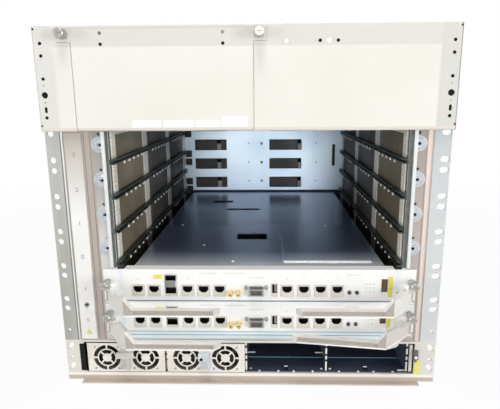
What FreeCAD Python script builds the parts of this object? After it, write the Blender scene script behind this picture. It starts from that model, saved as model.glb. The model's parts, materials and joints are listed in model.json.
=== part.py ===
"""Modular router chassis for a 19-inch rack, ten units high.

X runs to the right, Y into the chassis and Z up. The origin lies on the underside,
at mid width, in the plane of the rack flanges' front faces.
"""
import FreeCAD
import Part
import Sketcher
import os
import re

# Driving dimensions, in millimetres, degrees or counts.
DIMENSIONS = {
    # Whole chassis
    "chassis_height": 444.5,
    "rack_width": 478.5,
    "fascia_width": 481.0,
    "body_width": 438.0,
    "body_depth": 676.0,
    "wall": 1.5,
    "base_tongue": 8.0,
    "cover_skirt": 15.0,
    # Rack flanges
    "flange_sheet": 2.0,
    "flange_return": 32.0,
    "rack_hole_spacing": 465.1,
    "rack_unit": 44.45,
    "hole_pair": 12.7,
    "lowest_pair": 108.6,
    "pair_count": 8,
    "flange_hole_radius": 3.7,
    "slot_hole_length": 10.6,
    "low_hole_height": 72.0,
    "low_hole_radius": 2.2,
    # Card cage
    "cage_center": 13.0,
    "cage_opening": 356.0,
    "cage_depth": 505.0,
    "cage_sheet": 1.2,
    "cage_setback": 1.5,
    "slot_pitch": 42.7,
    "slot_count": 6,
    "cards_bottom": 71.0,
    "boss_spacing": 378.0,
    "boss_radius": 6.5,
    "boss_bore": 1.8,
    "pilot_rise": 39.4,
    "pilot_radius": 1.5,
    "screw_rise": 26.7,
    "front_post": 28.0,
    "middle_post": 167.0,
    "rear_post": 329.0,
    "post_width": 24.0,
    "window_margin": 6.0,
    "screen_sheet": 1.0,
    # Guide rails
    "rail_rise": 5.4,
    "rail_height": 6.0,
    "rail_depth": 6.0,
    "groove_depth": 4.2,
    "rail_gap": 0.3,
    "rail_tail": 8.0,
    "tooth_first": 40.0,
    "tooth_pitch": 36.0,
    "tooth_count": 13,
    "tooth_length": 8.0,
    # Backplane
    "cover_sheet": 1.5,
    "connector_left": -118.5,
    "connector_right": 50.3,
    "window_width": 72.0,
    "window_height": 24.0,
    "window_rise": 20.2,
    "connector_inset": 2.0,
    "connector_length": 9.0,
    "board_sheet": 3.0,
    "board_offset": 8.0,
    "key_offset": -169.5,
    "key_size": 15.0,
    "key_gap": 18.4,
    "key_pitch": 63.5,
    "key_rise": 98.3,
    "vent_offset": 159.6,
    "vent_width": 6.5,
    "vent_height": 50.0,
    "vent_rise": 166.8,
    "post_radius": 4.0,
    "post_inset": 12.0,
    # Slot label strip
    "strip_width": 20.0,
    "strip_edge": 0.6,
    "strip_margin": 1.6,
    "wrist_jack_height": 107.0,
    "wrist_jack_radius": 2.0,
    "wrist_jack_room": 1.0,
    # Fascia and fan door
    "fascia_stand": 4.0,
    "fascia_sheet": 2.0,
    "fascia_rim": 2.5,
    "fascia_hole_radius": 1.6,
    "fascia_rack_rise": 41.75,
    "door_left": -197.5,
    "door_width": 206.0,
    "ear_width": 15.5,
    "ear_height": 14.5,
    "seam": 1.0,
    "fine_seam": 0.3,
    "landing_sheet": 1.6,
    "barrel_radius": 2.5,
    "pin_radius": 1.2,
    "running_gap": 0.05,
    "knuckle_length": 9.0,
    "door_lip": 1.5,
    "side_hole_first": 16.0,
    "side_hole_second": 60.0,
    "side_hole_third": 85.5,
    "side_hole_fourth": 99.0,
    "side_slot_rise": 25.0,
    "side_slot_length": 7.0,
    "cap_hole_left": 46.0,
    "cap_hole_right": 93.5,
    "cap_hole_rise": 99.5,
    "cap_hole_radius": 3.6,
    "cap_hole_step": 10.0,
    "door_pair_offset": 69.2,
    "door_pair_high": 5.0,
    "door_pair_low": 17.0,
    # Thumbscrews
    "knob_radius": 5.5,
    "knob_length": 12.0,
    "knob_edge": 0.6,
    "knob_neck": 3.2,
    "knob_neck_length": 2.0,
    "shank_radius": 1.5,
    "door_shank": 5.5,
    "shank_gap": 0.3,
    "shank_room": 1.0,
    "knob_inset": 7.5,
    "knob_drop": 6.0,
    "card_knob_radius": 5.0,
    "card_knob_length": 13.0,
    "card_knob_neck": 6.0,
    "card_shank": 6.0,
    # Fan bay
    "bay_floor_sheet": 1.5,
    "bay_floor_front": 4.0,
    "tray_front": 12.0,
    "tray_width": 204.0,
    "tray_gap": 4.0,
    "tray_depth": 430.0,
    "tray_height": 86.0,
    "tray_wall": 2.0,
    "duct_radius": 62.0,
    "first_duct": 112.0,
    "duct_pitch": 200.0,
    "strut_width": 10.0,
    "axle_radius": 3.0,
    "axle_height": 30.0,
    "handle_width": 80.0,
    "handle_stand": 8.0,
    "handle_bar": 3.0,
    "handle_height": 12.0,
    "handle_rise": 40.0,
    "blade_root_pitch": 48.0,
    "blade_tip_pitch": 28.0,
    "blade_rise": 0.42,
    "blade_thickness": 0.05,
    "blade_reach": 0.94,
    "blade_count": 5,
    "tray_fan_radius": 59.0,
    "tray_fan_hub": 24.0,
    "tray_fan_height": 24.0,
    "tray_fan_lift": 3.6,
    # Power shelf
    "shelf_top": 57.5,
    "frame_top": 58.0,
    "bay_left": -213.2,
    "bay_pitch": 104.6,
    "bay_depth": 420.0,
    "bay_floor": 12.0,
    "bay_roof": 55.0,
    "frame_left": -216.0,
    "frame_right": 213.0,
    "partition_sheet": 1.2,
    "ear_slot_length": 11.0,
    "ear_slot_width": 5.4,
    "ear_slot_tilt": 60.0,
    "ear_slot_low": 21.0,
    "ear_slot_high": 49.5,
    "ear_insert_height": 33.0,
    "ear_insert_radius": 2.6,
    "shelf_depth": 600.0,
    "channel_depth": 40.0,
    "channel_setback": 4.0,
    # Power modules
    "module_width": 101.4,
    "module_height": 41.2,
    "module_depth": 380.0,
    "module_gap": 0.2,
    "module_wall": 1.5,
    "guard_radius": 17.7,
    "guard_ring": 12.6,
    "guard_ring_width": 1.6,
    "guard_hub": 5.9,
    "guard_spoke": 2.2,
    "guard_offset": 25.4,
    "guard_rise": 20.6,
    "module_fan_radius": 17.0,
    "module_fan_hub": 8.5,
    "module_fan_height": 10.0,
    "module_fan_lift": 3.0,
    "module_blade_pitch": 36.0,
    "module_axle": 1.5,
    "module_axle_length": 15.0,
    "latch_width": 11.0,
    "latch_height": 22.0,
    "latch_stand": 8.0,
    "latch_sheet": 3.0,
    "latch_rise": 17.6,
    "latch_pin": 0.8,
    "latch_lug": 1.5,
    # Controller cards
    "card_width": 390.0,
    "card_height": 41.8,
    "card_lift": 0.4,
    "card_sheet": 2.0,
    "card_lip": 12.0,
    "card_lip_width": 338.0,
    "carrier_width": 320.0,
    "carrier_sheet": 1.2,
    "carrier_top": 41.0,
    "rear_cut_left": -101.0,
    "rear_cut_front": 384.0,
    "rear_cut_width": 40.0,
    "rear_cut_depth": 20.0,
    "middle_cut_left": -67.0,
    "middle_cut_front": 318.0,
    "middle_cut_width": 62.0,
    "middle_cut_depth": 14.0,
    "front_cut_left": -36.0,
    "front_cut_front": 128.0,
    "front_cut_width": 46.0,
    "front_cut_depth": 32.0,
    "cover_plate_left": 32.0,
    "cover_plate_width": 116.0,
    "cover_plate_front": 28.0,
    "cover_plate_depth": 142.0,
    "cover_plate_sheet": 0.8,
    "board_width": 348.0,
    "board_thickness": 2.2,
    "board_rise": 4.3,
    "card_depth": 496.0,
    "port_gap": 0.2,
    "port_proud": 0.5,
    "port_depth": 14.0,
    "port_wall": 1.6,
    "jack_width": 16.0,
    "jack_height": 15.4,
    "jack_mouth": 12.0,
    "jack_rise": 11.4,
    "jack_drop": 5.2,
    "jack_notch": 5.4,
    "jack_notch_height": 3.2,
    "jack_pitch": 20.2,
    "pair_jacks": -152.0,
    "trio_jacks": -89.4,
    "quad_jacks": 35.7,
    "quad_pitch": 20.9,
    "cage_port": -110.5,
    "cage_port_width": 16.0,
    "cage_port_height": 29.4,
    "cage_mouth_width": 13.6,
    "cage_mouth_height": 8.6,
    "cage_mouth_low": 9.6,
    "cage_mouth_high": 25.6,
    "serial_port": -3.0,
    "serial_width": 19.0,
    "serial_foot": 15.0,
    "serial_height": 13.0,
    "serial_margin": 2.2,
    "serial_stand": 5.0,
    "serial_socket": 4.0,
    "usb_port": 19.9,
    "usb_width": 7.4,
    "usb_height": 17.4,
    "usb_mouth_rise": 10.8,
    "usb_mouth_height": 11.8,
    "coax_port": -35.1,
    "coax_pitch": 9.9,
    "coax_rise": 11.8,
    "coax_radius": 3.1,
    "coax_stand": 9.0,
    "coax_nut": 4.2,
    "coax_nut_length": 2.2,
    "button_first": 113.4,
    "button_pitch": 9.3,
    "button_rise": 11.8,
    "button_radius": 2.3,
    "button_stand": 1.5,
    "button_length": 6.0,
    "button_gap": 0.3,
    "display_port": 156.7,
    "display_width": 7.4,
    "display_height": 16.5,
    "display_rise": 13.0,
    "display_depth": 5.0,
    # Ejector levers
    "lever_pivot": 186.5,
    "lever_stand": 6.0,
    "lever_run": 35.0,
    "lever_reach": 44.0,
    "lever_length": 142.0,
    "lever_foot": 9.0,
    "lever_depth": 8.0,
    "lever_tip": 7.0,
    "lever_rise": 2.2,
    "lever_height": 15.6,
    "lever_grip": 8.0,
    "lever_slope": 5.0,
    "lever_channel": 2.5,
    "lever_rim": 1.8,
    "arm_start": 14.0,
    "arm_ramp": 3.0,
    "arm_height": 21.0,
    "arm_drop": 5.0,
    "lever_eye": 4.5,
    "lever_pin": 2.0,
    "lug_sheet": 1.6,
    "lug_gap": 0.2,
    "lug_width": 10.0,
    "loose_lever_turn": 8.0,
    # Rear panel
    "exhaust_width": 9.0,
    "exhaust_height": 150.0,
    "exhaust_pitch": 16.0,
    "exhaust_count": 24,
    "exhaust_low": 95.0,
    "exhaust_high": 265.0,
    "side_vent_width": 8.0,
    "side_vent_height": 90.0,
    "side_vent_pitch": 20.0,
    "side_vent_count": 18,
    "side_vent_front": 90.0,
    "side_vent_low": 110.0,
    "inlet_width": 34.0,
    "inlet_height": 27.0,
    "inlet_depth": 20.0,
    "inlet_rise": 18.0,
    "inlet_stand": 2.0,
    "inlet_wall": 3.0,
    "inlet_blade": 2.0,
    "panel_screw_radius": 3.2,
    "panel_screw_head": 1.8,
    "panel_screw_inset": 8.0,
}

doc = FreeCAD.newDocument("router_chassis")
sheet = doc.addObject("Spreadsheet::Sheet", "Dims")
for row, (alias, number) in enumerate(DIMENSIONS.items(), start=1):
    sheet.set(f"A{row}", alias.replace("_", " "))
    sheet.set(f"B{row}", str(number))
    sheet.setAlias(f"B{row}", alias)
doc.recompute()

# Levels and edges that several pieces share, as expressions of the dimensions.
INNER_HALF = "(body_width / 2 - wall)"
TUB_TOP = "(chassis_height - wall)"
FASCIA_BOTTOM = "(cards_bottom + slot_count * slot_pitch)"
CAGE_HALF = "(cage_opening / 2)"
RACK_HOLE = "(rack_hole_spacing / 2)"
DOOR_RIGHT = "(door_left + door_width)"
DOOR_TOP = "(chassis_height - fascia_rim - fine_seam)"
EAR_BOTTOM = f"({DOOR_TOP} - ear_height)"
BARREL_Y = "(barrel_radius - fascia_stand)"
BARREL_Z = f"({FASCIA_BOTTOM} + barrel_radius)"
KNOB_Z = f"({DOOR_TOP} - knob_drop)"
TRAY_BOTTOM = f"({FASCIA_BOTTOM} + bay_floor_sheet)"
STRIP_LEFT = f"(strip_edge - {INNER_HALF})"
BACKPLANE_Y = "(cage_depth + board_offset)"

PLANES = {"XY": ("XY_Plane", 1), "XZ": ("XZ_Plane", -1), "YZ": ("YZ_Plane", 1)}
AXES = {"X": "X_Axis", "Y": "Y_Axis", "Z": "Z_Axis"}
nodes = []


def bound(expression):
    """Point each dimension named in an expression at its cell of the sheet."""
    def cell(word):
        return "Dims." + word[0] if word[0] in DIMENSIONS else word[0]
    return re.sub(r"[a-z][a-z_]*[a-z]", cell, str(expression))


def size(expression):
    """Present value of an expression."""
    return float(sheet.evalExpression(bound(expression)))


def origin_of(body, role):
    """Origin plane or axis of a body, by its role."""
    return next(item for item in body.Origin.OriginFeatures if item.Role == role)


def new_body(name):
    """Body for one piece; its label names the piece."""
    body = doc.addObject("PartDesign::Body", name)
    body.Label = name
    nodes.append(body)
    return body


def new_sketch(body, name, plane, level="0"):
    """Sketch on an origin plane, moved to a level along that plane's world axis."""
    role, sense = PLANES[plane]
    sketch = body.newObject("Sketcher::SketchObject", f"{body.Name}_{name}")
    sketch.AttachmentSupport = (origin_of(body, role), [""])
    sketch.MapMode = "FlatFace"
    sketch.setExpression("AttachmentOffset.Base.z", bound(f"{sense} * ({level})"))
    return sketch


def fix_point(sketch, edge, point, place):
    """Hold one point of the sketch at a pair of expressions from its origin."""
    for kind, expression in zip(("DistanceX", "DistanceY"), place):
        rule = Sketcher.Constraint(kind, -1, 1, edge, point, size(expression))
        index = sketch.addConstraint(rule)
        sketch.setExpression(f"Constraints[{index}]", bound(expression))


def draw_outline(sketch, points):
    """Closed run of straight edges through pairs of expressions."""
    first = sketch.GeometryCount
    spots = [FreeCAD.Vector(size(u), size(v), 0) for u, v in points]
    count = len(points)
    for i in range(count):
        sketch.addGeometry(Part.LineSegment(spots[i], spots[(i + 1) % count]))
    corners = [
        Sketcher.Constraint("Coincident", first + i, 2, first + (i + 1) % count, 1)
        for i in range(count)
    ]
    sketch.addConstraint(corners)
    for i, place in enumerate(points):
        fix_point(sketch, first + i, 1, place)


def draw_box(sketch, left, low, right, high):
    """Rectangle between two corners."""
    draw_outline(sketch, [(left, low), (right, low), (right, high), (left, high)])


def draw_circle(sketch, u, v, radius):
    """Circle about a centre."""
    center = FreeCAD.Vector(size(u), size(v), 0)
    edge = sketch.addGeometry(Part.Circle(center, FreeCAD.Vector(0, 0, 1), size(radius)))
    fix_point(sketch, edge, 3, (u, v))
    index = sketch.addConstraint(Sketcher.Constraint("Radius", edge, size(radius)))
    sketch.setExpression(f"Constraints[{index}]", bound(radius))


def draw_slot(sketch, u, v, length, width, tilt="0"):
    """Slot with round ends, its long axis turned from the sketch's first axis."""
    reach = f"(({length}) - ({width})) / 2"
    ends = [
        (f"{u} + {sign} * {reach} * cos({tilt})", f"{v} + {sign} * {reach} * sin({tilt})")
        for sign in (-1, 1)
    ]
    radius = size(width) / 2
    turn = size(tilt)
    along = FreeCAD.Rotation(FreeCAD.Vector(0, 0, 1), turn)
    across = along.multVec(FreeCAD.Vector(0, radius, 0))
    back, front = [FreeCAD.Vector(size(a), size(b), 0) for a, b in ends]
    out = along.multVec(FreeCAD.Vector(radius, 0, 0))
    first = sketch.GeometryCount
    sketch.addGeometry(Part.Arc(back + across, back - out, back - across))
    sketch.addGeometry(Part.LineSegment(back - across, front - across))
    sketch.addGeometry(Part.Arc(front - across, front + out, front + across))
    sketch.addGeometry(Part.LineSegment(front + across, back + across))
    links = [((0, 2), (1, 1)), ((1, 2), (2, 1)), ((2, 2), (3, 1)), ((3, 2), (0, 1))]
    for (one, end), (two, start) in links:
        sketch.addConstraint(Sketcher.Constraint("Tangent", first + one, end, first + two, start))
    fix_point(sketch, first, 3, ends[0])
    fix_point(sketch, first + 2, 3, ends[1])
    index = sketch.addConstraint(Sketcher.Constraint("Radius", first, radius))
    sketch.setExpression(f"Constraints[{index}]", bound(f"({width}) / 2"))


def grow(body, name, sketch, length, towards=1):
    """Pad a sketch along its plane's world axis, forward or backward."""
    feature = body.newObject("PartDesign::Pad", f"{body.Name}_{name}")
    feature.Profile = sketch
    feature.setExpression("Length", bound(length))
    feature.Reversed = towards * plane_sense(sketch) < 0
    doc.recompute()
    return feature


def plane_sense(sketch):
    """Whether the sketch's normal runs along or against its world axis."""
    role = sketch.AttachmentSupport[0][0].Role
    return next(sense for name, sense in PLANES.values() if name == role)


def carve(body, name, sketch, depth=None, towards=1):
    """Pocket a sketch: right through both ways, or to a depth along its world axis."""
    doc.recompute()
    before = body.Shape.Volume
    feature = body.newObject("PartDesign::Pocket", f"{body.Name}_{name}")
    feature.Profile = sketch
    if depth is None:
        feature.Type = "ThroughAll"
        feature.Midplane = True
    else:
        feature.setExpression("Length", bound(depth))
        feature.Reversed = towards * plane_sense(sketch) > 0
    doc.recompute()
    if body.Shape.Volume >= before:
        raise RuntimeError(f"{feature.Name} cuts nothing")
    return feature


def repeat(body, name, features, axis, pitch, count, backward=False):
    """Row of a feature along a world axis."""
    row_of = body.newObject("PartDesign::LinearPattern", f"{body.Name}_{name}")
    row_of.Originals = features
    row_of.Direction = (origin_of(body, AXES[axis]), [""])
    row_of.Mode = "Spacing"
    row_of.setExpression("Offset", bound(pitch))
    row_of.setExpression("Occurrences", bound(count))
    row_of.Reversed = backward
    body.Tip = row_of
    doc.recompute()
    return row_of


def place(body, x="0", y="0", z="0"):
    """Put a body built about its own zero at its place in the chassis."""
    for axis, expression in zip("xyz", (x, y, z)):
        body.setExpression(f"Placement.Base.{axis}", bound(expression))


def plate(name, plane, level, thickness, left, low, right, high):
    """Body that starts as a rectangular sheet."""
    body = new_body(name)
    sketch = new_sketch(body, "outline", plane, level)
    draw_box(sketch, left, low, right, high)
    grow(body, "sheet", sketch, thickness)
    return body


def chassis_tub():
    """Base and side walls, one sheet folded to a U, with slots for the air intake."""
    body = new_body("chassis_tub")
    half = "body_width / 2"
    section = new_sketch(body, "section", "XZ", "flange_sheet")
    draw_outline(section, [
        (f"-{half}", "0"), (half, "0"), (half, TUB_TOP), (INNER_HALF, TUB_TOP),
        (INNER_HALF, "wall"), (f"-{INNER_HALF}", "wall"), (f"-{INNER_HALF}", TUB_TOP),
        (f"-{half}", TUB_TOP),
    ])
    grow(body, "walls", section, "body_depth - flange_sheet")
    tongue = new_sketch(body, "tongue", "XY")
    draw_box(tongue, f"-{half}", "-base_tongue", half, "flange_sheet")
    grow(body, "front_edge", tongue, "wall")
    vent = new_sketch(body, "vent", "YZ")
    draw_box(vent, "side_vent_front", "side_vent_low", "side_vent_front + side_vent_width",
             "side_vent_low + side_vent_height")
    cut = carve(body, "vent_cut", vent)
    repeat(body, "vents", [cut], "Y", "side_vent_pitch", "side_vent_count")


def top_cover():
    """Lid with skirts that fit inside the walls of the tub."""
    body = new_body("top_cover")
    half = "body_width / 2"
    skirt = f"({TUB_TOP} - cover_skirt)"
    inside = f"({INNER_HALF} - wall)"
    section = new_sketch(body, "section", "XZ")
    draw_outline(section, [
        (f"-{half}", TUB_TOP), (f"-{INNER_HALF}", TUB_TOP), (f"-{INNER_HALF}", skirt),
        (f"-{inside}", skirt), (f"-{inside}", TUB_TOP), (inside, TUB_TOP), (inside, skirt),
        (INNER_HALF, skirt), (INNER_HALF, TUB_TOP), (half, TUB_TOP),
        (half, "chassis_height"), (f"-{half}", "chassis_height"),
    ])
    grow(body, "lid", section, "body_depth")


def inlet_centers():
    """X of the middle of each power bay, where its inlet sits at the rear."""
    return [f"(bay_left + bay_pitch * {bay + 0.5})" for bay in range(4)]


def rear_panel():
    """Rear wall above the power entry plates, with two rows of exhaust slots."""
    body = new_body("rear_panel")
    shoulder = f"{TUB_TOP} - cover_skirt"
    neck = f"({INNER_HALF} - wall)"
    outline = new_sketch(body, "outline", "XZ", "body_depth - wall")
    draw_outline(outline, [
        (f"-{INNER_HALF}", "shelf_top"), (INNER_HALF, "shelf_top"), (INNER_HALF, shoulder), (neck, shoulder),
        (neck, TUB_TOP), (f"-{neck}", TUB_TOP), (f"-{neck}", shoulder), (f"-{INNER_HALF}", shoulder),
    ])
    grow(body, "sheet", outline, "wall")
    first = "(exhaust_count - 1) * exhaust_pitch / 2"
    for name, low in (("low", "exhaust_low"), ("high", "exhaust_high")):
        row = new_sketch(body, f"{name}_slot", "XZ", "body_depth")
        left = f"-{first} - exhaust_width / 2"
        draw_box(row, left, low, f"{left} + exhaust_width", f"{low} + exhaust_height")
        cut = carve(body, f"{name}_cut", row)
        repeat(body, f"{name}_row", [cut], "X", "exhaust_pitch", "exhaust_count")


def power_inlets():
    """Power entry plates along the foot of the rear wall, each with an inlet of three blades."""
    body = new_body("power_inlets")
    plates = new_sketch(body, "plates", "XZ", "body_depth - wall")
    shells = new_sketch(body, "shells", "XZ", "body_depth + inlet_stand")
    wells = new_sketch(body, "wells", "XZ", "body_depth + inlet_stand")
    blades = new_sketch(body, "blades", "XZ", "body_depth + inlet_stand - inlet_wall")
    for bay, middle in enumerate(inlet_centers()):
        left = f"{bay - 2} * {INNER_HALF} / 2"
        draw_box(plates, f"{left} + fine_seam / 2", "wall",
                 f"{left} + {INNER_HALF} / 2 - fine_seam / 2", "shelf_top - fine_seam")
        draw_box(shells, f"{middle} - inlet_width / 2", "inlet_rise",
                 f"{middle} + inlet_width / 2", "inlet_rise + inlet_height")
        draw_box(wells, f"{middle} - inlet_width / 2 + inlet_wall", "inlet_rise + inlet_wall",
                 f"{middle} + inlet_width / 2 - inlet_wall", "inlet_rise + inlet_height - inlet_wall")
        for step in (-1, 0, 1):
            blade = f"{middle} + {step} * inlet_width / 4"
            lift = f"inlet_rise + inlet_height / 2 + {1 - abs(step)} * inlet_wall"
            draw_box(blades, f"{blade} - inlet_blade / 2", f"{lift} - inlet_wall",
                     f"{blade} + inlet_blade / 2", f"{lift} + inlet_wall")
    grow(body, "entry_plates", plates, "wall")
    grow(body, "blocks", shells, "inlet_depth", -1)
    carve(body, "hollows", wells, "inlet_depth - inlet_wall", -1)
    grow(body, "contacts", blades, "inlet_depth - 2 * inlet_wall", -1)


def panel_screws():
    """Button heads that hold the rear panel, four down each side."""
    body = new_body("panel_screws")
    heads = new_sketch(body, "heads", "XZ", "body_depth")
    for side in (-1, 1):
        draw_circle(heads, f"{side} * ({INNER_HALF} - panel_screw_inset)", "cards_bottom",
                    "panel_screw_radius")
    column = grow(body, "first_row", heads, "panel_screw_head")
    repeat(body, "rows", [column], "Z", "2 * slot_pitch", "4")


def rack_flange(side):
    """Rack ear: angle of steel with paired holes at the rack's own pitch."""
    name = "rack_flange_left" if side < 0 else "rack_flange_right"
    body = new_body(name)
    inner = f"{side} * body_width / 2"
    bend = f"{side} * (body_width / 2 + flange_sheet)"
    outer = f"{side} * rack_width / 2"
    angle = new_sketch(body, "angle", "XY", "frame_top")
    draw_outline(angle, [
        (inner, "0"), (outer, "0"), (outer, "flange_sheet"), (bend, "flange_sheet"),
        (bend, "flange_return"), (inner, "flange_return"),
    ])
    grow(body, "ear", angle, "chassis_height - frame_top")
    pair = new_sketch(body, "pair", "XZ")
    hole = f"{side} * {RACK_HOLE}"
    for step in (-1, 1):
        height = f"lowest_pair + {step} * hole_pair / 2"
        if side < 0:
            draw_circle(pair, hole, height, "flange_hole_radius")
        else:
            draw_slot(pair, hole, height, "slot_hole_length", "2 * flange_hole_radius")
    cut = carve(body, "pair_cut", pair, "flange_sheet")
    repeat(body, "pairs", [cut], "Z", "rack_unit", "pair_count")
    low = new_sketch(body, "low_hole", "XZ")
    draw_circle(low, hole, "low_hole_height", "low_hole_radius")
    carve(body, "low_hole_cut", low, "flange_sheet")


def power_shelf_frame():
    """Front frame of the power shelf, folded back along its lower edge into the bays' floor."""
    body = plate("power_shelf_frame", "XZ", "0", "flange_sheet",
                 "-rack_width / 2", "wall", "rack_width / 2", "frame_top")
    mouth = new_sketch(body, "mouth", "XZ")
    draw_box(mouth, "frame_left", "bay_floor", "frame_right", "bay_roof")
    carve(body, "mouth_cut", mouth)
    floor = new_sketch(body, "floor", "XY", "bay_floor - wall")
    draw_box(floor, "frame_left", "flange_sheet / 2", "frame_right", "bay_depth")
    grow(body, "bay_floor", floor, "wall")
    slots = new_sketch(body, "slots", "XZ")
    for side in (-1, 1):
        for height in ("ear_slot_low", "ear_slot_high"):
            draw_slot(slots, f"{side} * {RACK_HOLE}", height, "ear_slot_length", "ear_slot_width",
                      f"90 + {side} * (90 - ear_slot_tilt)")
        draw_circle(slots, f"{side} * {RACK_HOLE}", "ear_insert_height", "ear_insert_radius")
    carve(body, "slot_cuts", slots, "flange_sheet")


def bay_partitions():
    """Sheets between the power bays."""
    body = new_body("bay_partitions")
    first = new_sketch(body, "first", "XY", "bay_floor")
    draw_box(first, "bay_left - partition_sheet / 2", "3 * flange_sheet",
             "bay_left + partition_sheet / 2", "bay_depth")
    wall = grow(body, "first_wall", first, "shelf_top - wall - bay_floor")
    repeat(body, "walls", [wall], "X", "bay_pitch", "5")


def shelf_cross_member():
    """Roof of the power shelf, with the channel that carries the card cage across the front."""
    body = plate("shelf_cross_member", "XY", "shelf_top - wall", "wall",
                 f"-{INNER_HALF}", "channel_setback", INNER_HALF, "shelf_depth")
    channel = new_sketch(body, "channel", "YZ", f"cage_center - {CAGE_HALF}")
    inside = "channel_setback + wall"
    roof = "cards_bottom - wall"
    draw_outline(channel, [
        ("channel_setback", "shelf_top - wall"), (inside, "shelf_top - wall"), (inside, f"{roof} - wall"),
        ("channel_depth", f"{roof} - wall"), ("channel_depth", roof), ("channel_setback", roof),
    ])
    grow(body, "channel_web", channel, "cage_opening")


def card_cage(side):
    """Side of the card cage: wall with open windows, folded out to a front flange with bosses."""
    name = "card_cage_left" if side < 0 else "card_cage_right"
    body = new_body(name)
    inside = f"cage_center + {side} * {CAGE_HALF}"
    outside = f"cage_center + {side} * ({CAGE_HALF} + cage_sheet)"
    edge = f"{side} * {INNER_HALF}"
    back = "cage_setback + wall"
    angle = new_sketch(body, "angle", "XY", "frame_top")
    draw_outline(angle, [
        (edge, "cage_setback"), (inside, "cage_setback"), (inside, "cage_depth"),
        (outside, "cage_depth"), (outside, back), (edge, back),
    ])
    grow(body, "wall", angle, f"{FASCIA_BOTTOM} - frame_top")
    windows = new_sketch(body, "windows", "YZ", inside)
    low = "cards_bottom + window_margin"
    high = f"{FASCIA_BOTTOM} - window_margin"
    posts = ("front_post", "middle_post - post_width / 2", "middle_post + post_width / 2",
             "rear_post - post_width / 2", "rear_post + post_width / 2", "cage_depth - post_width")
    for start, end in zip(posts[0::2], posts[1::2]):
        draw_box(windows, start, low, end, high)
    carve(body, "window_cuts", windows)
    boss_x = f"cage_center + {side} * boss_spacing / 2"
    boss = new_sketch(body, "boss", "XZ", "cage_setback")
    draw_circle(boss, boss_x, "cards_bottom + screw_rise", "boss_radius")
    raised = grow(body, "boss_pad", boss, "cage_setback", -1)
    repeat(body, "bosses", [raised], "Z", "slot_pitch", "slot_count")
    bores = new_sketch(body, "bores", "XZ", "0")
    draw_circle(bores, boss_x, "cards_bottom + screw_rise", "boss_bore")
    draw_circle(bores, boss_x, "cards_bottom + pilot_rise", "pilot_radius")
    drilled = carve(body, "bore_cut", bores, "2 * cage_setback + wall")
    repeat(body, "bore_row", [drilled], "Z", "slot_pitch", "slot_count")
    if side < 0:
        jack = new_sketch(body, "wrist_jack", "XZ", "0")
        draw_circle(jack, f"{STRIP_LEFT} + strip_width / 2", "wrist_jack_height",
                    "wrist_jack_radius + wrist_jack_room")
        carve(body, "wrist_jack_cut", jack, "2 * cage_setback + wall")


def plenum_screens():
    """Sheets behind the windows of the cage's sides; fine perforation is left to the finish."""
    body = new_body("plenum_screens")
    for side in (-1, 1):
        start = f"cage_center + {side} * ({CAGE_HALF} + cage_sheet)"
        panel = new_sketch(body, "left" if side < 0 else "right", "YZ", start)
        draw_box(panel, "cage_setback + 2 * wall", "shelf_top", "cage_depth", FASCIA_BOTTOM)
        grow(body, "left_sheet" if side < 0 else "right_sheet", panel, "screen_sheet", side)


def guide_rails():
    """Grooved card rails on both sides of the cage, with open teeth along their lower edge."""
    body = new_body("guide_rails")
    for side in (-1, 1):
        hand = "left" if side < 0 else "right"
        wall = f"cage_center + {side} * {CAGE_HALF}"
        lip = f"cage_center + {side} * ({CAGE_HALF} - rail_depth)"
        groove = f"cage_center + {side} * ({CAGE_HALF} - rail_depth + groove_depth)"
        low = "cards_bottom + rail_rise - rail_height / 2"
        high = "cards_bottom + rail_rise + rail_height / 2"
        slit_low = "cards_bottom + board_rise - rail_gap"
        slit_high = "cards_bottom + board_rise + board_thickness + rail_gap"
        section = new_sketch(body, f"{hand}_section", "XZ", "cage_setback")
        draw_outline(section, [
            (wall, low), (lip, low), (lip, slit_low), (groove, slit_low),
            (groove, slit_high), (lip, slit_high), (lip, high), (wall, high),
        ])
        rail = grow(body, f"{hand}_rail", section, "cage_depth - cage_setback - rail_tail")
        repeat(body, f"{hand}_rails", [rail], "Z", "slot_pitch", "slot_count")
        tooth = new_sketch(body, f"{hand}_tooth", "XY", low)
        draw_box(tooth, lip, "tooth_first", groove, "tooth_first + tooth_length")
        notch = carve(body, f"{hand}_notch", tooth, f"{slit_low} - ({low})")
        grid = repeat(body, f"{hand}_teeth", [notch], "Y", "tooth_pitch", "tooth_count")
        grid.Direction2 = (origin_of(body, AXES["Z"]), [""])
        grid.Mode2 = "Spacing"
        grid.setExpression("Offset2", bound("slot_pitch"))
        grid.setExpression("Occurrences2", bound("slot_count"))
        doc.recompute()


def backplane_cover():
    """Rear wall of the card cage, with windows for the connectors of each slot."""
    body = plate("backplane_cover", "XZ", "cage_depth - cover_sheet", "cover_sheet",
                 f"cage_center - {CAGE_HALF}", "shelf_top", f"cage_center + {CAGE_HALF}", FASCIA_BOTTOM)
    windows = new_sketch(body, "windows", "XZ", "cage_depth")
    middle = "cards_bottom + window_rise"
    for column in ("connector_left", "connector_right"):
        draw_box(windows, f"cage_center + {column} - window_width / 2", f"{middle} - window_height / 2",
                 f"cage_center + {column} + window_width / 2", f"{middle} + window_height / 2")
    cut = carve(body, "window_cut", windows)
    repeat(body, "window_rows", [cut], "Z", "slot_pitch", "slot_count")
    keys = new_sketch(body, "keys", "XZ", "cage_depth")
    for step in (-1, 1):
        height = f"cards_bottom + key_rise + {step} * key_gap / 2"
        draw_box(keys, "cage_center + key_offset - key_size / 2", f"{height} - key_size / 2",
                 "cage_center + key_offset + key_size / 2", f"{height} + key_size / 2")
    key_cut = carve(body, "key_cut", keys)
    repeat(body, "key_rows", [key_cut], "Z", "key_pitch", "3")
    slit = new_sketch(body, "slit", "XZ", "cage_depth")
    draw_slot(slit, "cage_center + vent_offset", "cards_bottom + vent_rise",
              "vent_height", "vent_width", "90")
    carve(body, "slit_cut", slit)


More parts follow.
